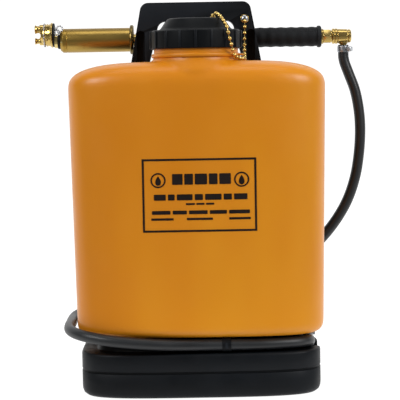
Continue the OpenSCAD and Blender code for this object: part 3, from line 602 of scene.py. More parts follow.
def light():
    world = bpy.data.worlds.new("studio")
    bpy.context.scene.world = world
    world.use_nodes = True
    sky = world.node_tree.nodes["Background"]
    sky.inputs["Color"].default_value = (1, 1, 1, 1)
    seen = add(world.node_tree, "ShaderNodeLightPath").outputs["Is Camera Ray"]
    world.node_tree.links.new(spread(world.node_tree, seen, 0.2, 1.0, 0, 1), sky.inputs["Strength"])
    area_light("key", (-1.9, -1.7, 1.9), (0, 0, 0.42), 1.1, 1.1, 44)
    area_light("fill", (2.0, -1.5, 1.7), (0, 0, 0.45), 1.0, 1.3, 47)
    area_light("top", (0, -0.2, 2.4), (0, 0, 0.3), 1.4, 0.9, 9)
    bpy.context.scene.view_settings.view_transform = "Standard"


camera()
floor()
light()

# --- the hose, a tube swept along its route -------------------------------------------------

HOSE_BACK_Y = FRAME_BACK + HOSE_R + 1
GROOVE = 72.5
HOSE_ROUTE = [
    (BRANCH_X, PUMP_Y, PUMP_Z - 29), (BRANCH_X + 0.3, PUMP_Y, PUMP_Z - 32),
    (218.5, PUMP_Y, PUMP_Z - 40), (224, PUMP_Y, 440),
    (233, PUMP_Y, 415), (238.5, PUMP_Y, 385), (240, PUMP_Y, 355),
    (237.5, PUMP_Y, 320), (231, PUMP_Y - 1, 285), (218, PUMP_Y - 2, 250),
    (197, PUMP_Y - 4, 217), (170, PUMP_Y - 7, 188), (135, HOSE_BACK_Y + 3, 163),
    (90, HOSE_BACK_Y, 143), (40, HOSE_BACK_Y, 127), (-15, HOSE_BACK_Y, 115), (-70, HOSE_BACK_Y, 106),
    (-120, HOSE_BACK_Y, 100), (-152, HOSE_BACK_Y, 97), (-173, HOSE_BACK_Y - 5, 95),
    (-182, 90, 93), (-184.5, 60, 92), (-184, 25, 92), (-183.5, -10, 92),
    (-180, -38, 91), (-169, -60, 89), (-151, -76, 86.5),
    (-126, -85, 83), (-100, -86.5, 80), (-70, -84.5, 77),
    (-35, -80, GROOVE + 2), (0, -76.5, GROOVE + 1),
    (35, CLIP_Y, GROOVE + 0.5), (70, -72, GROOVE), (100, -68, GROOVE),
    (128, -60, GROOVE), (145, -47, 72), (150.5, -31, 70.5),
    (OUTLET_X, -15, OUTLET_Z), (OUTLET_X, 2, OUTLET_Z),
]


def hose():
    # The hose is pushed up over the barb, so it starts a little above its free route
    cuff_top = high("hose_cuff")[2] - 1
    route = [(BRANCH_X, PUMP_Y, cuff_top), (BRANCH_X, PUMP_Y, 474)] + HOSE_ROUTE
    line = smooth_line(route, 6)
    tube = swept("hose_rubber_tube", line, circle(HOSE_R, 28), HOSE)
    metres = [tuple(float(c) * MM for c in p) for p in line]
    length = sum(math.dist(a, b) for a, b in zip(metres, metres[1:]))
    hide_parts("hose", "hose_cuff")
    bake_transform(tube)


hose()

# --- tank ------------------------------------------------------------------------------------

TANK_TOP = TANK_Z + 376
SIDE_TOP = TANK_TOP - 35
FOOT_HALF, TOP_HALF = 171.5, TANK_W / 2
NECK_D, MOUTH_D, BEAD_D = size("cap_gasket", 0), 102, 123
RIM_Z = low("cap_gasket")[2] - 2


def superellipse(half_x, half_y, steps, mid_y=MID_Y):
    """An outline with a bowed front and a flatter back."""
    out = []
    for i in range(steps):
        a = 2 * math.pi * (i + 0.5) / steps
        power = 2 / (3.7 if math.sin(a) < 0 else 8)
        c, s = math.cos(a), math.sin(a)
        out.append((half_x * math.copysign(abs(c) ** power, c),
                    mid_y + half_y * math.copysign(abs(s) ** power, s)))
    return out


def loft(name, levels, mat, steps=160):
    """A closed skin through outlines at (half width, half depth, height) levels."""
    verts, faces = [], []
    for half_x, half_y, z in levels:
        verts += [(x, y, z) for x, y in superellipse(half_x, half_y, steps)]
    for i in range(len(levels) - 1):
        for k in range(steps):
            a, b = i * steps, (k + 1) % steps
            faces.append((a + k, a + b, a + steps + b, a + steps + k))
    faces.append(tuple(range(steps)))
    faces.append(tuple((len(levels) - 1) * steps + k for k in range(steps)))
    return object_of(name, verts, faces, mat)


def tank():
    roll, half_d = 14, TANK_D / 2
    levels = []
    for a in np.linspace(0, math.pi / 2, 8):
        inset = roll * (1 - math.sin(a))
        levels.append((FOOT_HALF - inset, half_d - inset, TANK_Z + roll * (1 - math.cos(a))))
    for t in np.linspace(0.06, 1, 14):
        levels.append((FOOT_HALF + (TOP_HALF - FOOT_HALF) * t, half_d,
                       TANK_Z + roll + (SIDE_TOP - TANK_Z - roll) * t))
    for a in np.linspace(0.03, math.pi / 2, 22):
        drop = 1 - math.cos(a) ** (2 / 2.6)
        levels.append((TOP_HALF - 110 * drop, half_d - 44 * drop, SIDE_TOP + 35 * math.sin(a) ** (2 / 2.6)))
    body = loft("tank_body", levels, ORANGE)
    # The neck widens towards the shoulder and runs out in the front face
    neck = lathe("neck", [
        (SIDE_TOP - 20, 0), (SIDE_TOP - 20, NECK_D / 2), (TANK_TOP - 40, NECK_D / 2 + 10),
        (TANK_TOP - 12, NECK_D / 2 + 10), (TANK_TOP + 3, NECK_D / 2 + 1), (RIM_Z, NECK_D / 2), (RIM_Z, 0)],
        ORANGE, (0, CAP_Y, 0), "Z", 0, 96)
    mod = body.modifiers.new("neck", "BOOLEAN")
    mod.operation, mod.solver, mod.object = "UNION", "EXACT", neck
    bake(body)
    bpy.data.objects.remove(neck)
    mod = body.modifiers.new("skin", "REMESH")
    mod.mode, mod.voxel_size, mod.use_smooth_shade = "VOXEL", 3.0 * MM, True
    mod = body.modifiers.new("melt", "SMOOTH")
    mod.factor, mod.iterations = 0.5, 6
    bake(body)
    # The mouth goes down through the neck to the hollow inside
    well = lathe("well", tube_outline(RIM_Z - 66, RIM_Z + 20, MOUTH_D), ORANGE, (0, CAP_Y, 0), "Z", 0, 96)
    body = cut(body, [well])
    body.data.shade_smooth()
    bead = lathe("bead", [(464, NECK_D / 2 - 2), (464, BEAD_D / 2), (470, BEAD_D / 2), (470, NECK_D / 2 - 2)],
                 ORANGE, (0, CAP_Y, 0), "Z", 2.4, 128)
    rings = [
        lathe("thread", [(z, NECK_D / 2 - 1), (z, NECK_D / 2 + 1), (z + 2.4, NECK_D / 2 + 1),
                         (z + 2.4, NECK_D / 2 - 1)], ORANGE, (0, CAP_Y, 0), "Z", 1, 96)
        for z in (476, 482, 488)
    ]
    boss = [
        lathe("cap_lug", [(466.2, 0.1), (466.2, 3.2), (468.6, 3.2), (468.6, 0.1)], ORANGE,
              (x, CAP_Y + y, 0), "Z", 0.8, 24)
        for x, y in ((60.5, -19), (62.5, -10.5))
    ]
    piece = join("tank_blow_moulded", [body, bead] + rings + boss)
    piece.data.set_sharp_from_angle(angle=math.radians(50))
    return place(piece, "root", "orange_hdpe", "tank_shell")


def front_of_tank(x, z):
    """How far forward the tank's front is at a place on it."""
    t = (z - TANK_Z - 14) / (SIDE_TOP - TANK_Z - 14)
    half = FOOT_HALF + (TOP_HALF - FOOT_HALF) * t
    return MID_Y - TANK_D / 2 * (1 - abs(x / half) ** 3.7) ** (1 / 3.7)


def printed(name, outlines, proud=0.45, thick=0.9):
    """Flat shapes laid on the tank's front, as (x, z) outlines."""
    parts = []
    for shape in outlines:
        part = prism(name, shape, 0, thick, INK)
        bm = bmesh.new()
        bm.from_mesh(part.data)
        xs = [p[0] for p in shape]
        for x in np.arange(math.ceil(min(xs) / 5) * 5, max(xs), 5):
            everything = bm.verts[:] + bm.edges[:] + bm.faces[:]
            bmesh.ops.bisect_plane(bm, geom=everything, plane_co=(x * MM, 0, 0), plane_no=(1, 0, 0))
        for v in bm.verts:
            v.co.y += (front_of_tank(v.co.x * 1000, v.co.z * 1000) - proud) * MM
        bm.to_mesh(part.data)
        bm.free()
        parts.append(part)
    return join(name, parts)


def oblong(x0, x1, z0, z1, radius, steps):
    return rounded([(x0, z0), (x1, z0), (x1, z1), (x0, z1)], radius, steps)


def bar(x0, x1, z0, z1, r=0.8):
    return oblong(x0, x1, z0, z1, min(r, (x1 - x0) / 2.1, (z1 - z0) / 2.1), 3)


def disc(x, z, r, n=28):
    return [(x + r * math.cos(2 * math.pi * k / n), z + r * math.sin(2 * math.pi * k / n)) for k in range(n)]


def label():
    """A printed panel: a border, two plain round marks, and bars where a name would be."""
    (x0, _, z0), (x1, _, z1) = low("label_plate"), high("label_plate")
    w = 2.7
    shapes = [
        bar(x0, x1, z1 - w, z1, 0.3), bar(x0, x1, z0, z0 + w, 0.3),
        bar(x0, x0 + w, z0 + w - 0.2, z1 - w + 0.2, 0.1), bar(x1 - w, x1, z0 + w - 0.2, z1 - w + 0.2, 0.1),
    ]
    mid, wide, tall = (x0 + x1) / 2, (x1 - x0) / 154, (z1 - z0) / 99

    def at(x, z):
        return mid + (x - 1.5) * wide, z0 + (z - 229) * tall

    def block(xa, xb, za, zb, r=0.9):
        (xa, za), (xb, zb) = at(xa, za), at(xb, zb)
        shapes.append(bar(xa, xb, za, zb, r))

    # Five heavy blocks between the two marks
    for xa, xb in ((-35, -21), (-18.5, -7), (-4.5, 12), (14.5, 26), (28.5, 44)):
        block(xa, xb, 293, 307.5)
    for xa, xb in ((-60, -44), (-41, -32), (-29, -8), (-5, 6), (9, 31), (34, 45), (48, 66)):
        block(xa, xb, 272, 280)
    for xa, xb in ((-17, -5), (-3, 8), (10, 21)):
        block(xa, xb, 265.5, 268, 0.6)
    for xa, xb in ((-63, -38), (-35, -16), (-13, 12), (15, 38), (41, 69)):
        block(xa, xb, 253, 258)
    for xa, xb in ((-64, -34), (-16, 19), (41, 70)):
        block(xa, xb, 245, 248, 0.6)
    # A drop in a ring at each end
    for x in (-54, 58.5):
        x, z = at(x, 299)
        ring_out, ring_in = disc(x, z, 10.2 * wide), disc(x, z, 8.2 * wide)
        n = len(ring_out)
        for k in range(n):
            j = (k + 1) % n
            shapes.append([ring_in[k], ring_out[k], ring_out[j], ring_in[j]])
        drop = [(x + 5 * math.sin(a) * math.sin(a / 2), z - 0.5 + 6.4 * math.cos(a))
                for a in np.linspace(0, 2 * math.pi, 24, endpoint=False)]
        shapes.append(drop[::-1])
    piece = printed("label_printed", shapes)
    return place(piece, "root", "label_vinyl", "label_plate")


# --- base ------------------------------------------------------------------------------------


def base():
    half_w, half_d = size("base_box", 0) / 2, TANK_D / 2 - 2
    groove_half = half_w - 22
    profile = [(half_w - 12, 0), (half_w - 6, 1.2), (half_w - 2, 4.5), (half_w - 0.4, 9), (half_w, 14),
               (half_w, 33.6), (half_w - 0.6, 34.6), (half_w - 1.9, 35.2), (half_w - 1.9, 37.0),
               (half_w - 0.6, 37.5), (half_w, 38.4), (half_w, 58.2), (half_w - 0.5, 60.2),
               (half_w - 1.4, 61.3), (half_w - 2.8, 61.9), (half_w - 6, 62), (groove_half + 3, 62),
               (groove_half + 0.9, 62.9),
               (groove_half, 65), (groove_half, TANK_Z)]
    levels = [(x, half_d - (half_w - x), z) for x, z in profile]
    body = loft("base_loft", levels, BLACK, 192)
    notch = slab("notch", (OUTLET_X - 30, OUTLET_X + 30), (-26, 36), (49, 109), BLACK)
    under = [
        slab("under", (x - 62, x + 62), (y - 24, y + 24), (-5, 42), BLACK)
        for x in (-67, 67) for y in (-27, 27)
    ]
    body = cut(body, [notch] + under)
    sharpen(body, 40)
    body.name = "base_moulded"
    return place(body, "root", "black_hdpe", "base_box")


# --- back frame ------------------------------------------------------------------------------


def hull(circles, n=40):
    """The outline round a few circles, given as (x, z, radius)."""
    pts = sorted({(round(x + r * math.cos(2 * math.pi * k / n), 4),
                   round(z + r * math.sin(2 * math.pi * k / n), 4))
                  for x, z, r in circles for k in range(n)})

    def half(points):
        out = []
        for p in points:
            while len(out) > 1 and ((out[-1][0] - out[-2][0]) * (p[1] - out[-2][1])
                                    - (out[-1][1] - out[-2][1]) * (p[0] - out[-2][0])) <= 0:
                out.pop()
            out.append(p)
        return out[:-1]

    return half(pts) + half(pts[::-1])


def back_frame():
    top = high("back_frame")[2]
    half_w = size("back_frame", 0) / 2
    foot = [(side * LEG_FOOT, LEG_FOOT_Z, 10) for side in (-1, 1)]
    bar_ends = [(side * 68, top - 12, 12) for side in (-1, 1)]
    panel = [(side * (half_w - 34), 374, 34) for side in (-1, 1)]
    panel += [(side * (half_w - 12), 22, 12) for side in (-1, 1)]
    upper = prism("frame_upper", hull(bar_ends + foot), FRAME_Y, FRAME_BACK, BLACK)
    lower = prism("frame_lower", hull(foot + panel), FRAME_Y, FRAME_BACK, BLACK)
    mod = upper.modifiers.new("join", "BOOLEAN")
    mod.operation, mod.solver, mod.object = "UNION", "EXACT", lower
    bake(upper)
    bpy.data.objects.remove(lower)
    window = hull([(s * 43.5, top - 39, 12) for s in (-1, 1)] + [(s * 56, 456, 12) for s in (-1, 1)])
    cutters = [prism("window", window, FRAME_Y - 5, FRAME_BACK + 5, BLACK)]
    for s in (-1, 1):
        leg, pad = s * 79.5, s * LEG_FOOT
        channel = oblong(leg - 6, leg + 6, 412, 506, 5, 5)
        cutters.append(prism("channel", channel, FRAME_Y - 1, FRAME_Y + 12, BLACK))
        pocket = oblong(pad - 46, pad + 46, 150, 350, 9, 5)
        cutters.append(prism("pocket", pocket, FRAME_BACK - 6, FRAME_BACK + 4, BLACK))
        for z in (404, 64):
            slot = oblong(s * STRAP_X - 24, s * STRAP_X + 24, z, z + 14, 3, 4)
            cutters.append(prism("slot", slot, FRAME_Y - 1, FRAME_BACK + 1, BLACK))
    spine = oblong(-26, 26, 60, 390, 9, 5)
    cutters.append(prism("spine", spine, FRAME_BACK - 6, FRAME_BACK + 4, BLACK))
    body = ease(cut(upper, cutters), 2.0, 3, 30)
    body.name = "back_frame_moulded"
    return place(body, "root", "black_hdpe", "back_frame")


# --- cap -------------------------------------------------------------------------------------


def group_inputs(tree, **inputs):
    """Named inputs on a Geometry Nodes tree, in order, after its geometry."""
    tree.interface.new_socket("Geometry", in_out="INPUT", socket_type="NodeSocketGeometry")
    tree.interface.new_socket("Geometry", in_out="OUTPUT", socket_type="NodeSocketGeometry")
    for key, kind in inputs.items():
        tree.interface.new_socket(key.replace("_", " "), in_out="INPUT", socket_type="NodeSocket" + kind)
    return tree.nodes.new("NodeGroupInput"), tree.nodes.new("NodeGroupOutput")


def grown(piece, tree, **values):
    """Runs a Geometry Nodes tree on a piece, with its named sizes, and keeps the mesh."""
    mod = piece.modifiers.new("grow", "NODES")
    mod.node_group = tree
    sockets = {s.name: s.identifier for s in tree.interface.items_tree if s.in_out == "INPUT"}
    for key, value in values.items():
        mod[sockets[key.replace("_", " ")]] = value
    return bake(piece)


def rib_ring_tree():
    """Copies of a piece, stood evenly round the Z axis."""
    tree = bpy.data.node_groups.new("ring_of_ribs", "GeometryNodeTree")
    into, out = group_inputs(tree, Count="Int", Finish="Material")
    points = add(tree, "GeometryNodePoints", Count=into.outputs["Count"])
    index = add(tree, "GeometryNodeInputIndex").outputs[0]
    share = add(tree, "ShaderNodeMath", {"operation": "ADD"}, _0=index, _1=0.5).outputs[0]
    share = add(tree, "ShaderNodeMath", {"operation": "DIVIDE"},
                _0=share, _1=into.outputs["Count"]).outputs[0]
    turn = add(tree, "ShaderNodeMath", {"operation": "MULTIPLY"}, _0=share, _1=2 * math.pi).outputs[0]
    spin = add(tree, "ShaderNodeCombineXYZ", Z=turn).outputs[0]
    copies = add(tree, "GeometryNodeInstanceOnPoints", Points=points.outputs[0],
                 Instance=into.outputs["Geometry"], Rotation=spin).outputs[0]
    real = add(tree, "GeometryNodeRealizeInstances", Geometry=copies).outputs[0]
    done = add(tree, "GeometryNodeSetMaterial", Geometry=real, Material=into.outputs["Finish"]).outputs[0]
    tree.links.new(done, out.inputs[0])
    return tree


def bead_line_tree():
    """Round beads on a thin wire, evenly along a line."""
    tree = bpy.data.node_groups.new("beads_on_a_line", "GeometryNodeTree")
    into, out = group_inputs(tree, Bead_radius="Float", Wire_radius="Float", Pitch="Float", Finish="Material")
    line = add(tree, "GeometryNodeMeshToCurve", Mesh=into.outputs["Geometry"]).outputs[0]
    spots = add(tree, "GeometryNodeResampleCurve", {"mode": "LENGTH"},
                Curve=line, Length=into.outputs["Pitch"])
    bead = add(tree, "GeometryNodeMeshUVSphere", Segments=20, Rings=12,
               Radius=into.outputs["Bead radius"]).outputs["Mesh"]
    beads = add(tree, "GeometryNodeInstanceOnPoints", Points=spots.outputs[0], Instance=bead).outputs[0]
    beads = add(tree, "GeometryNodeRealizeInstances", Geometry=beads).outputs[0]
    beads = add(tree, "GeometryNodeSetShadeSmooth", _0=beads).outputs[0]
    ring = add(tree, "GeometryNodeCurvePrimitiveCircle", Resolution=10,
               Radius=into.outputs["Wire radius"]).outputs[0]
    wire = add(tree, "GeometryNodeCurveToMesh", Curve=line, Profile_Curve=ring)
    wire.inputs["Fill Caps"].default_value = True
    both = add(tree, "GeometryNodeJoinGeometry", _0=beads)
    tree.links.new(wire.outputs[0], both.inputs[0])
    done = add(tree, "GeometryNodeSetMaterial", Geometry=both.outputs[0],
               Material=into.outputs["Finish"]).outputs[0]
    tree.links.new(done, out.inputs[0])
    return tree


RIB_RING, BEAD_LINE = rib_ring_tree(), bead_line_tree()


def beads(name, line, bead_d, wire_d, pitch, mat, closed=False):
    """A ball chain along a line."""
    n = len(line)
    edges = [(i, i + 1) for i in range(n - 1)] + ([(n - 1, 0)] if closed else [])
    mesh = bpy.data.meshes.new(name)
    mesh.from_pydata([tuple(c * MM for c in p) for p in line], edges, [])
    piece = bpy.data.objects.new(name, mesh)
    bpy.context.scene.collection.objects.link(piece)
    return grown(piece, BEAD_LINE, Bead_radius=bead_d / 2 * MM, Wire_radius=wire_d / 2 * MM,
                 Pitch=pitch * MM, Finish=mat)


def cap():
    ring_top = CAP_TOP - 16
    z0, r = CAP_Z, size("cap_shell", 0) / 2 - 1.6
    thread_r = 59
    shell = lathe("cap_body", [
        (z0, thread_r), (z0, r - 0.6), (z0 + 1.2, r), (ring_top - 2, r), (ring_top, r - 3),
        (ring_top + 0.3, 51), (ring_top + 2.5, 48.3), (ring_top + 7, 45.2), (ring_top + 12, 41.8),
        (CAP_TOP - 1.2, 39.6),
        (CAP_TOP, 37), (CAP_TOP, 0), (CAP_TOP - 3, 0), (CAP_TOP - 3.2, 32), (ring_top - 3, 44),
        (ring_top - 3, thread_r),
    ], BLACK, (0, CAP_Y, 0), "Z", 1.4, 144)
    rib = prism("rib", rounded([(r - 3, -2.6), (r + 1.6, -1.5), (r + 1.6, 1.5), (r - 3, 2.6)], 0.7, 3),
                z0 + 1, ring_top - 1.2, BLACK, "XY")
    ribs = grown(ease(rib, 0.5, 2, 50), RIB_RING, Count=18, Finish=BLACK)
    web = prism("web", rounded([(36, ring_top - 1), (47.2, ring_top - 1), (46.4, ring_top + 3),
                                (41, ring_top + 12.6), (36, ring_top + 13)], 0.8, 3), -1.6, 1.6, BLACK)
    webs = grown(ease(web, 0.5, 2, 50), RIB_RING, Count=6, Finish=BLACK)
    for part in (ribs, webs):
        for v in part.data.vertices:
            v.co.y += CAP_Y * MM
    piece = join("cap_moulded", [shell, ribs, webs])
    piece.data.set_sharp_from_angle(angle=math.radians(38))
    return place(piece, "cap", "black_hdpe", "cap_shell")


CHAIN_ROUTE = [
    (27, -18, 524.5), (31, -30, 522.5), (35, -42, 517.5), (38.5, -54, 511.5), (42, -65, 504.5),
    (43.8, -68, 496), (45.9, -66.5, 487), (48.4, -63, 478.5), (50.5, -59, 470.5),
    (53, -53, 464.8), (59, -42, 462), (64.5, -22, 462), (67.5, 5, 462), (68.5, 32, 462.2),
    (69.2, 54, 465), (69.6, 69, 472), (70, 76, 481.5), (70.3, 77.5, 498), (70.7, 77.5, 510),
]


def cap_chain():
    route = [(24.3, CAP_Y, 521.8)] + CHAIN_ROUTE + [(70.7, 77.5, 517.5)]
    line = smooth_line(route, 6)
    piece = beads("cap_ball_chain", line, 5.5, 1.5, 8.4, CHAIN_BRASS)
    eyelet = lathe("eyelet", [(-0.6, 4.2), (-0.6, 6.1), (0.6, 6.1), (0.6, 4.2)], CHAIN_BRASS,
                   (70.7, FRAME_Y - 1.6, middle("chain_screw")[2]), "Y", 0.6, 48)
    place(eyelet, "root", "aged_brass")
    metres = [tuple(float(c) * MM for c in p) for p in line]
    length = sum(math.dist(a, b) for a, b in zip(metres, metres[1:]))
    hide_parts("cap_chain")
    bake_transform(piece)


# --- pump ------------------------------------------------------------------------------------

AXIS = (0, PUMP_Y, PUMP_Z)
HEAD = (0, PUMP_Y, HEAD_Z)
# From the middle of the nozzle head to either tip
PORT_OFF = 8.5


def hexagon(name, x0, x1, across_corners, mat, centre=AXIS, bevel=0.8, bore=0.0):
    r = across_corners / 2
    shape = [(centre[1] + r * math.cos(math.radians(a)), centre[2] + r * math.sin(math.radians(a)))
             for a in range(0, 360, 60)]
    body = prism(name, shape, x0, x1, mat, "YZ")
    cone = lathe("chamfer", [(x0 - 1, 0), (x0 - 1, r * 0.9), (x0, r * 0.93), (x0 + 1.2, r * 1.01),
                             (x1 - 1.2, r * 1.01), (x1, r * 0.93), (x1 + 1, r * 0.9), (x1 + 1, 0)],
                 mat, centre, "X", 0, 72)
    mod = body.modifiers.new("chamfer", "BOOLEAN")
    mod.operation, mod.solver, mod.object = "INTERSECT", "EXACT", cone
    bake(body)
    bpy.data.objects.remove(cone)
    if bore:
        body = cut(body, [lathe("bore", tube_outline(x0 - 5, x1 + 5, bore), mat, centre, "X", 0, 64)])
    return ease(body, bevel * 0.4, 2, 40)


def pump_rear():
    x0, x1 = low("pump_cylinder")[0], high("pump_cylinder")[0]
    od, bore = size("pump_cylinder", 2), 19.6
    tube = lathe("cylinder_tube", tube_outline(x0, x1, od, bore), AGED, AXIS)
    place(tube, "pump_rear", "aged_brass", "pump_cylinder")
    g0, g1 = low("gland_nut")[0], high("gland_nut")[0]
    place(hexagon("gland_nut_hex", g0, g1, od, AGED, AXIS, 0.8, 16.1), "pump_rear", "aged_brass", "gland_nut")
    # The grip is a sleeve of soft waves that ends in a bead
    a, b = low("rubber_grip")[0], high("rubber_grip")[0]
    grip_r, inner = size("rubber_grip", 2) / 2 - 1.5, od / 2 + 0.05
    outline = [(a, inner), (a, grip_r - 1.6), (a + 1, grip_r - 0.6)]
    for x in np.arange(a + 2, b - 7, 1.25):
        outline.append((x, grip_r - 0.3 + 0.35 * math.cos((x - a - 9) * 2 * math.pi / 15)))
    outline += [(b - 6.5, grip_r - 0.4), (b - 5.5, grip_r + 1.2), (b - 3.4, grip_r + 1.5),
                (b - 1.3, grip_r + 1.2), (b, grip_r - 0.4), (b, inner)]
    grip = lathe("grip_sleeve", outline, RUBBER, AXIS, "X", 0, 112)
    place(grip, "pump_rear", "black_rubber", "rubber_grip")
    n0, n1 = low("rear_nut")[0], high("rear_nut")[0]
    nut = hexagon("rear_hex", n0, n1 - 1.6, 22, BRIGHT, AXIS, 1.0, 12.6)
    spigot = lathe("spigot", tube_outline(n1 - 2, n1, 17, 12.6), BRIGHT, AXIS, "X", 0.2)
    place(join("rear_nut_hex", [nut, spigot]), "pump_rear", "polished_brass", "rear_nut")
    c0, c1 = low("rear_collar")[0], high("rear_collar")[0]
    r = size("rear_collar", 2) / 2
    collar = lathe("rear_collar_turned", [
        (c0, 6.3), (c0, r - 1.4), (c0 + 1.2, r), (c0 + 3.6, r), (c0 + 4.1, r - 0.7), (c0 + 4.7, r - 0.7),
        (c0 + 5.2, r), (c1 - 1, r), (c1, r - 1.2), (c1, 6.3)], BRIGHT, AXIS, "X", 0.3)
    place(collar, "pump_rear", "polished_brass", "rear_collar")
    inlet_elbow()
    upper_clamp()


def inlet_elbow():
    x0, x1 = low("inlet_elbow")[0], high("inlet_elbow")[0]
    body = lathe("elbow_body", [
        (x0, 5.5), (x0, 10.6), (x0 + 4, 10.4), (x0 + 13.2, 10.1), (x0 + 14, 9.4), (x0 + 15, 9.4),
        (x0 + 15.6, 10), (x0 + 17.6, 9.8), (x0 + 18.9, 9.0), (x1, 7.4), (x1, 0), (x0 + 13, 0),
        (x0 + 12.6, 5.5)],
        BRIGHT, AXIS, "X", 0.5)
    bottom = low("inlet_elbow")[2] + 0.1
    top = PUMP_Z - 4
    barb_r = HOSE_R - 3
    barb = [(top, 0), (top, 6.6), (PUMP_Z - 11, 6.5), (PUMP_Z - 12, barb_r)]
    for k in range(3):
        z = PUMP_Z - 13.5 - 5 * k
        barb += [(z, barb_r), (z - 0.3, barb_r + 0.25), (z - 3, barb_r - 0.1)]
    barb += [(bottom, barb_r - 0.4), (bottom, 3.3), (PUMP_Z - 8, 3.3), (PUMP_Z - 8, 0)]
    stem = lathe("elbow_stem", barb, BRIGHT, (BRANCH_X, PUMP_Y, 0), "Z", 0.15)
    place(join("inlet_elbow_turned", [body, stem]), "pump_rear", "polished_brass", "inlet_elbow")


def clamp(name, centre, spin, axis):
    """A worm-drive band with its housing and screw, made round Z and then laid on its axis."""
    r = HOSE_R + 0.15
    band = lathe("band", [(0, r), (0, r + 0.75), (9, r + 0.75), (9, r)], ZINC, (0, 0, 0), "Z", 0.3, 96)
    notch = prism("slot", rounded([(-0.35, 1.6), (0.35, 1.6), (0.35, 7.4), (-0.35, 7.4)], 0.3, 2), r + 0.3,
                  r + 2, ZINC)
    notches = []
    for k in range(22):
        copy = notch.copy()
        copy.data = notch.data.copy()
        bpy.context.scene.collection.objects.link(copy)
        copy.data.transform(Euler((0, 0, math.radians(60 + 11 * k))).to_matrix().to_4x4())
        notches.append(copy)
    bpy.data.objects.remove(notch)
    band = cut(band, notches)
    shell = [(r - 0.2, 0.4), (r + 5.1, 1.2), (r + 5.4, 4.5), (r + 5.1, 7.8), (r - 0.2, 8.6)]
    house = ease(prism("house", rounded(shell, 1.2, 4), -5, 5, ZINC), 0.5, 2, 40)
    turned = [(-9, 0), (-9, 2.6), (-8.5, 3.2), (-5.6, 3.2), (-5.4, 2), (5.6, 2), (5.8, 0)]
    barrel = lathe("screw", turned, ZINC, (r + 2.3, 0, 4.5), "Y", 0.25, 36)
    slot = slab("slot", (r + 2.3 - 3.6, r + 2.3 + 3.6), (-9.6, -8.2), (4.0, 5.0), ZINC)
    barrel = cut(barrel, [slot])
    piece = join(name, [sharpen(band, 40), house, sharpen(barrel, 30)])
    turn = Euler((0, 0, spin)).to_matrix().to_4x4()
    if axis == "Y":
        turn = Euler((math.radians(90), 0, 0)).to_matrix().to_4x4() @ turn
    piece.data.transform(turn)
    for v in piece.data.vertices:
        v.co += Vector(centre) * MM
    return piece


def upper_clamp():
    z = low("upper_clamp_band")[2]
    piece = clamp("upper_hose_clamp", (BRANCH_X, PUMP_Y, z), math.radians(-20), "Z")
    place(piece, "pump_rear", "zinc_steel", "upper_clamp_band", "upper_clamp_screw")


def lower_clamp():
    y = high("lower_clamp_band")[1]
    piece = clamp("lower_hose_clamp", (OUTLET_X, y, OUTLET_Z), math.radians(90), "Y")
    place(piece, "root", "zinc_steel", "lower_clamp_band", "lower_clamp_screw")


def pump_front():
    s0, s1 = low("front_sleeve")[0], high("front_sleeve")[0]
    r = size("front_sleeve", 2) / 2
    sleeve = lathe("sleeve_turned", [
        (s0, 9), (s0, r - 3.4), (s0 + 0.5, r - 2.6), (s0 + 3.6, r - 0.1), (s0 + 5, r), (s0 + 9.4, r),
        (s0 + 9.7, r - 0.25), (s0 + 10.2, r - 0.25), (s0 + 10.5, r), (s1, r), (s1, r - 1.6),
        (s0 + 5, r - 1.6), (s0 + 3, r - 4), (s0 + 3, 9)], SLEEVE, AXIS, "X", 0.3, 128)
    place(sleeve, "pump_front", "aged_brass", "front_sleeve")
    f0, f1 = low("hand_flange")[0], high("hand_flange")[0]
    r = size("hand_flange", 2) / 2
    flange = lathe("hand_flange_turned", [
        (f0, 8), (f0, 14.8), (s1 + 0.1, 14.8), (s1 + 0.1, r - 1.6), (s1 + 0.8, r - 0.3), (s1 + 2, r),
        (f1 - 2, r), (f1 - 0.8, r - 0.5), (f1, r - 1.9), (f1, 13.5), (f1 - 0.8, 12.5), (f1 - 0.8, 8)],
        FLANGE, AXIS, "X", 0.4, 128)
    place(flange, "pump_front", "polished_brass", "hand_flange")
    p0, p1 = low("plunger_tube")[0], high("plunger_tube")[0]
    tube = lathe("plunger_drawn", tube_outline(p0, p1, size("plunger_tube", 2), 12.4), BRIGHT, AXIS, "X", 0.3)
    place(tube, "pump_front", "aged_brass", "plunger_tube")
    w0, w1 = low("sleeve_washer")[0], high("sleeve_washer")[0]
    washer = lathe("sleeve_washer_moulded", [
        (w0, 8.5), (w0, 11.5), (w0 + 0.7, 12), (w1 - 0.7, 12), (w1, 11.5), (w1, 8.5)], RUBBER, AXIS, "X", 0.5)
    place(washer, "pump_front", "black_rubber", "sleeve_washer")
    # A short loop of bead chain is tied round the neck of the sleeve
    turns = 36
    for name, x, z, r, count in (("tether_loop", s0 - 1, 17, 4.6, 8), ("tether_tail", s0 - 5, 12, 4.4, 8)):
        line = [(x + r * math.cos(a), PUMP_Y - 8 + 3 * math.sin(a), PUMP_Z + z + r * math.sin(a))
                for a in np.linspace(0, 2 * math.pi, turns, endpoint=False)]
        chain = beads(name, line, 2.9, 1.0, 2 * math.pi * r / count, NICKEL, closed=True)
        place(chain, "pump_front", "zinc_steel")


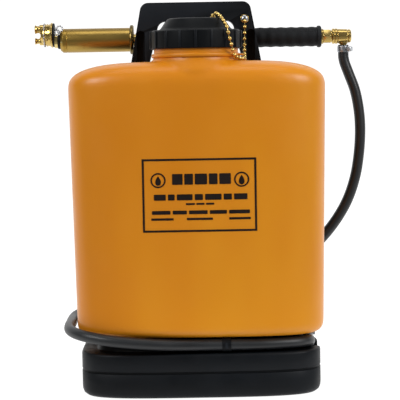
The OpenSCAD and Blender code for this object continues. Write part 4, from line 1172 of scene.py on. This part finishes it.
def nozzle():
    h1 = high("nozzle_head")[0]
    r = size("nozzle_head", 2) / 2
    bell = lathe("head_bell", [
        (h1, 1.5), (h1, r - 0.7), (h1 - 0.7, r), (h1 - 1.7, r), (h1 - 2.4, r - 0.7), (h1 - 3.4, r - 1.9),
        (h1 - 6, r - 2.8), (h1 - 10, r - 3.7), (h1 - 14, r - 4.8), (h1 - 16.6, r - 6.4), (h1 - 17.6, r - 8.6),
        (h1 - 17.6, 1.5)], BRIGHT, HEAD, "X", 0.5, 112)
    parts = [bell]
    for s, d in ((1, 14), (-1, 12)):
        parts.append(lathe("port", [
            (h1 - 19.5, 3), (h1 - 19.5, d / 2 - 0.6), (h1 - 18.9, d / 2), (h1 - 7, d / 2), (h1 - 7, 3)],
            BRIGHT, (0, PUMP_Y, HEAD_Z + s * PORT_OFF), "X", 0.3, 64))
    dimples = [
        lathe("dimple", [(h1 - 9.6, 1.8), (h1 - 8, 3.4), (h1 - 6.4, 1.8), (h1 - 6.4, 0), (h1 - 9.6, 0)],
              BRIGHT, (0, PUMP_Y + (r - 5) * math.cos(a), HEAD_Z + (r - 5) * math.sin(a)), "X", 0.3, 16)
        for a in np.radians((-150, -90, -30, 30, 90, 150))
    ]
    place(join("nozzle_head_turned", parts + dimples), "nozzle", "aged_brass", "nozzle_head")
    for node, s, mouth, bore in (("stream_tip", 1, 11.5, 4), ("spray_tip", -1, 8.5, 2)):
        t0, t1 = low(node)[0], h1 - 16.5
        m = mouth / 2
        tip = lathe(node + "_turned", [
            (t1 + 6, bore / 2), (t1 + 6, 2.95), (t1, 2.95), (t1, m + 0.2), (t1 - 1.6, m), (t1 - 4, m - 0.6),
            (t0 + 3, m - 0.4), (t0 + 1.6, m + 0.4), (t0 + 0.9, m + 0.7), (t0, m + 0.2), (t0 + 0.3, m - 1.3),
            (t0 + 2.5, bore / 2 + 0.6), (t0 + 6, bore / 2)],
            BRIGHT, (0, PUMP_Y, HEAD_Z + s * PORT_OFF), "X", 0.3, 80)
        place(tip, "nozzle", "polished_brass", node)
    w0, w1 = low("nozzle_washer")[0], high("nozzle_washer")[0]
    r = size("nozzle_washer", 2) / 2
    washer = lathe("nozzle_washer_moulded", [
        (w0, 1.6), (w0, r - 0.6), (w0 + 0.6, r), (w1 - 0.6, r), (w1, r - 0.6), (w1, 1.6)],
        RUBBER, HEAD, "X", 0.3)
    place(washer, "nozzle", "black_rubber", "nozzle_washer")
    turns = 72
    ring_r = size("nozzle_chain", 1) / 2 - 1.2
    x = middle("nozzle_chain")[0]
    line = [(x, PUMP_Y + ring_r * math.cos(2 * math.pi * k / turns),
             HEAD_Z + ring_r * math.sin(2 * math.pi * k / turns)) for k in range(turns)]
    chain = beads("nozzle_ball_chain", line, 2.4, 0.8, 2 * math.pi * ring_r / 30, NICKEL, closed=True)
    place(chain, "nozzle", "zinc_steel", "nozzle_chain")


# --- straps, pads and small fittings ---------------------------------------------------------

STRAP_LINE = [
    (FRAME_Y + 3, 407), (FRAME_BACK - 3, 407), (FRAME_BACK + 15, 399), (FRAME_BACK + 34, 385),
    (FRAME_BACK + 48, 325), (FRAME_BACK + 53, 262), (FRAME_BACK + 50, 200), (FRAME_BACK + 38, 145),
    (FRAME_BACK + 20, 100), (FRAME_BACK + 6, 78), (FRAME_BACK - 5, 70), (FRAME_Y + 3, 70),
]


def band(name, x, section, start, end, mat, steps=6):
    """A band with a section of (across, depth) points that follows the strap's side line."""
    line = smooth_line([(x, y, z) for y, z in STRAP_LINE], steps)
    line = line[int(start * steps): int(end * steps) + 1]
    verts, faces, uvs, n, run = [], [], [], len(section), 0.0
    for i, p in enumerate(line):
        d = unit(line[min(i + 1, len(line) - 1)] - line[max(i - 1, 0)])
        out = np.array([0, -d[2], d[1]])
        run += np.linalg.norm(p - line[i - 1]) if i else 0
        for k, (a, t) in enumerate(section):
            # A thick section thins out towards both ends of the band
            ease_in = min(1, 0.35 + min(i, len(line) - 1 - i) / 3) if t < -1 else 1
            verts.append(p + np.array([a, 0, 0]) + out * t * ease_in)
            uvs.append((run * MM, a * MM))
    for i in range(len(line) - 1):
        for k in range(n):
            a, b = i * n, (k + 1) % n
            faces.append((a + k, a + b, a + n + b, a + n + k))
    faces += [tuple(range(n)), tuple((len(line) - 1) * n + k for k in range(n - 1, -1, -1))]
    return sharpen(object_of(name, verts, faces, mat, uvs=uvs), 60)


def straps():
    for side in (-1, 1):
        tag = "left" if side < 0 else "right"
        x = middle("strap_" + tag)[0]
        flat = rounded([(-22, 0.1), (22, 0.1), (22, 2.9), (-22, 2.9)], 1.2, 4)
        fine = []
        for (a, t), (b, u) in zip(flat, flat[1:] + flat[:1]):
            count = max(1, int(abs(b - a) / 4))
            fine += [(a + (b - a) * k / count, t + (u - t) * k / count) for k in range(count)]
        web = band("strap_webbing_" + tag, x, fine, 0, 11, WEB, 8)
        place(web, "root", "webbing", "strap_" + tag)
        pad_line = []
        for a in np.linspace(0, 2 * math.pi, 48, endpoint=False):
            c, s = math.cos(a), math.sin(a)
            pad_line.append((29 * math.copysign(abs(c) ** 0.32, c),
                             -3.65 + 3.3 * math.copysign(abs(s) ** 0.5, s)))
        pad = band("shoulder_pad_foam_" + tag, x, pad_line, 8 / 3, 17 / 3, FOAM, 12)
        place(pad, "root", "webbing", "shoulder_pad_" + tag)


def clip():
    node = "hose_clip"
    x0, x1 = low(node)[0], high(node)[0]
    y, z, r = CLIP_Y, middle(node)[2], HOSE_R + 0.3
    ring = lathe("clip_ring", [(x0, r), (x0, r + 1.2), (x1, r + 1.2), (x1, r)],
                 BLACK, (0, y, z), "X", 0.4, 64)
    foot = slab("clip_foot", (x0, x1), (y + r - 0.2, y + r + 5), (z - r - 1, z + r + 1), BLACK)
    rib = slab("clip_rib", (x0 + 4, x1 - 4), (y - r - 1.2, y - r - 0.4), (z - 4, z + 4), BLACK)
    piece = join("hose_clip_moulded", [ring, ease(foot, 0.8), ease(rib, 0.3)])
    place(piece, "root", "black_hdpe", node)


def chain_screw():
    x, z = middle("chain_screw")[0], middle("chain_screw")[2]
    y0 = low("chain_screw")[1]
    r = size("chain_screw", 0) / 2
    head = lathe("screw_head", [
        (y0, 0), (y0, r * 0.45), (y0 + 0.6, r * 0.72), (y0 + 1.6, r * 0.93), (y0 + 2.6, r), (y0 + 3.1, r),
        (y0 + 3.2, 4), (y0 + 4, 4), (y0 + 4, 1.9), (y0 + 15.5, 1.9), (y0 + 16, 0)],
        ZINC, (x, 0, z), "Y", 0.2, 48)
    arms = [slab("arm", (x - a, x + a), (y0 - 1, y0 + 1.7), (z - b, z + b), ZINC)
            for a, b in ((2.6, 0.5), (0.5, 2.6))]
    place(sharpen(cut(head, arms), 30), "root", "zinc_steel", "chain_screw")


def hooks():
    for tag in ("left", "right"):
        node = "pump_hook_" + tag
        x0, x1 = low(node)[0], high(node)[0]
        z0, y_in = low(node)[2], low(node)[1]
        r, t = 11.4, 3.0
        # The strip goes up the frame, out under the pump and round it
        path = [(y_in, z0), (y_in, PUMP_Z - r - t)]
        outer = [(PUMP_Y + (r + t) * math.cos(a), PUMP_Z + (r + t) * math.sin(a))
                 for a in np.linspace(-math.pi / 2, 0, 14)]
        inner = [(PUMP_Y + r * math.cos(a), PUMP_Z + r * math.sin(a)) for a in np.linspace(0, -math.pi, 28)]
        low_y = PUMP_Y - r
        shape = path + outer + inner + [(low_y - t, PUMP_Z), (low_y - t, PUMP_Z - r + 2),
                                        (y_in + t, PUMP_Z - r + 2), (y_in + t, z0)]
        piece = ease(prism(node + "_strip", shape, x0, x1, HOOK_STEEL, "YZ"), 0.5, 2, 50)
        place(piece, "root", "zinc_steel", node)


def finish_kept_nodes():
    """Every CAD node that is still shown takes a finish too."""
    finishes = {
        "fill_strainer": GREY, "frame_bolts": ZINC, "hook_rivets": ZINC, "outlet_elbow": AGED,
        "outlet_gasket": RUBBER, "outlet_locknut": AGED, "outlet_strainer": AGED, "strap_buckles": BLACK,
        "cap_gasket": RUBBER, "chain_rivet": CHAIN_BRASS, "gland_packing": PTFE, "inlet_cage": AGED,
        "inlet_ball": NICKEL, "piston": AGED, "piston_cups": LEATHER, "sleeve_plug": AGED,
        "discharge_cage": AGED, "discharge_ball": NICKEL, "nozzle_ring": BRIGHT, "nozzle_pivot": BRIGHT,
    }
    for node, finish in finishes.items():
        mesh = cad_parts[node].data
        mesh.materials.clear()
        mesh.materials.append(finish)


tank()
label()
base()
back_frame()
cap()
cap_chain()
pump_rear()
lower_clamp()
pump_front()
nozzle()
straps()
clip()
chain_screw()
hooks()
finish_kept_nodes()
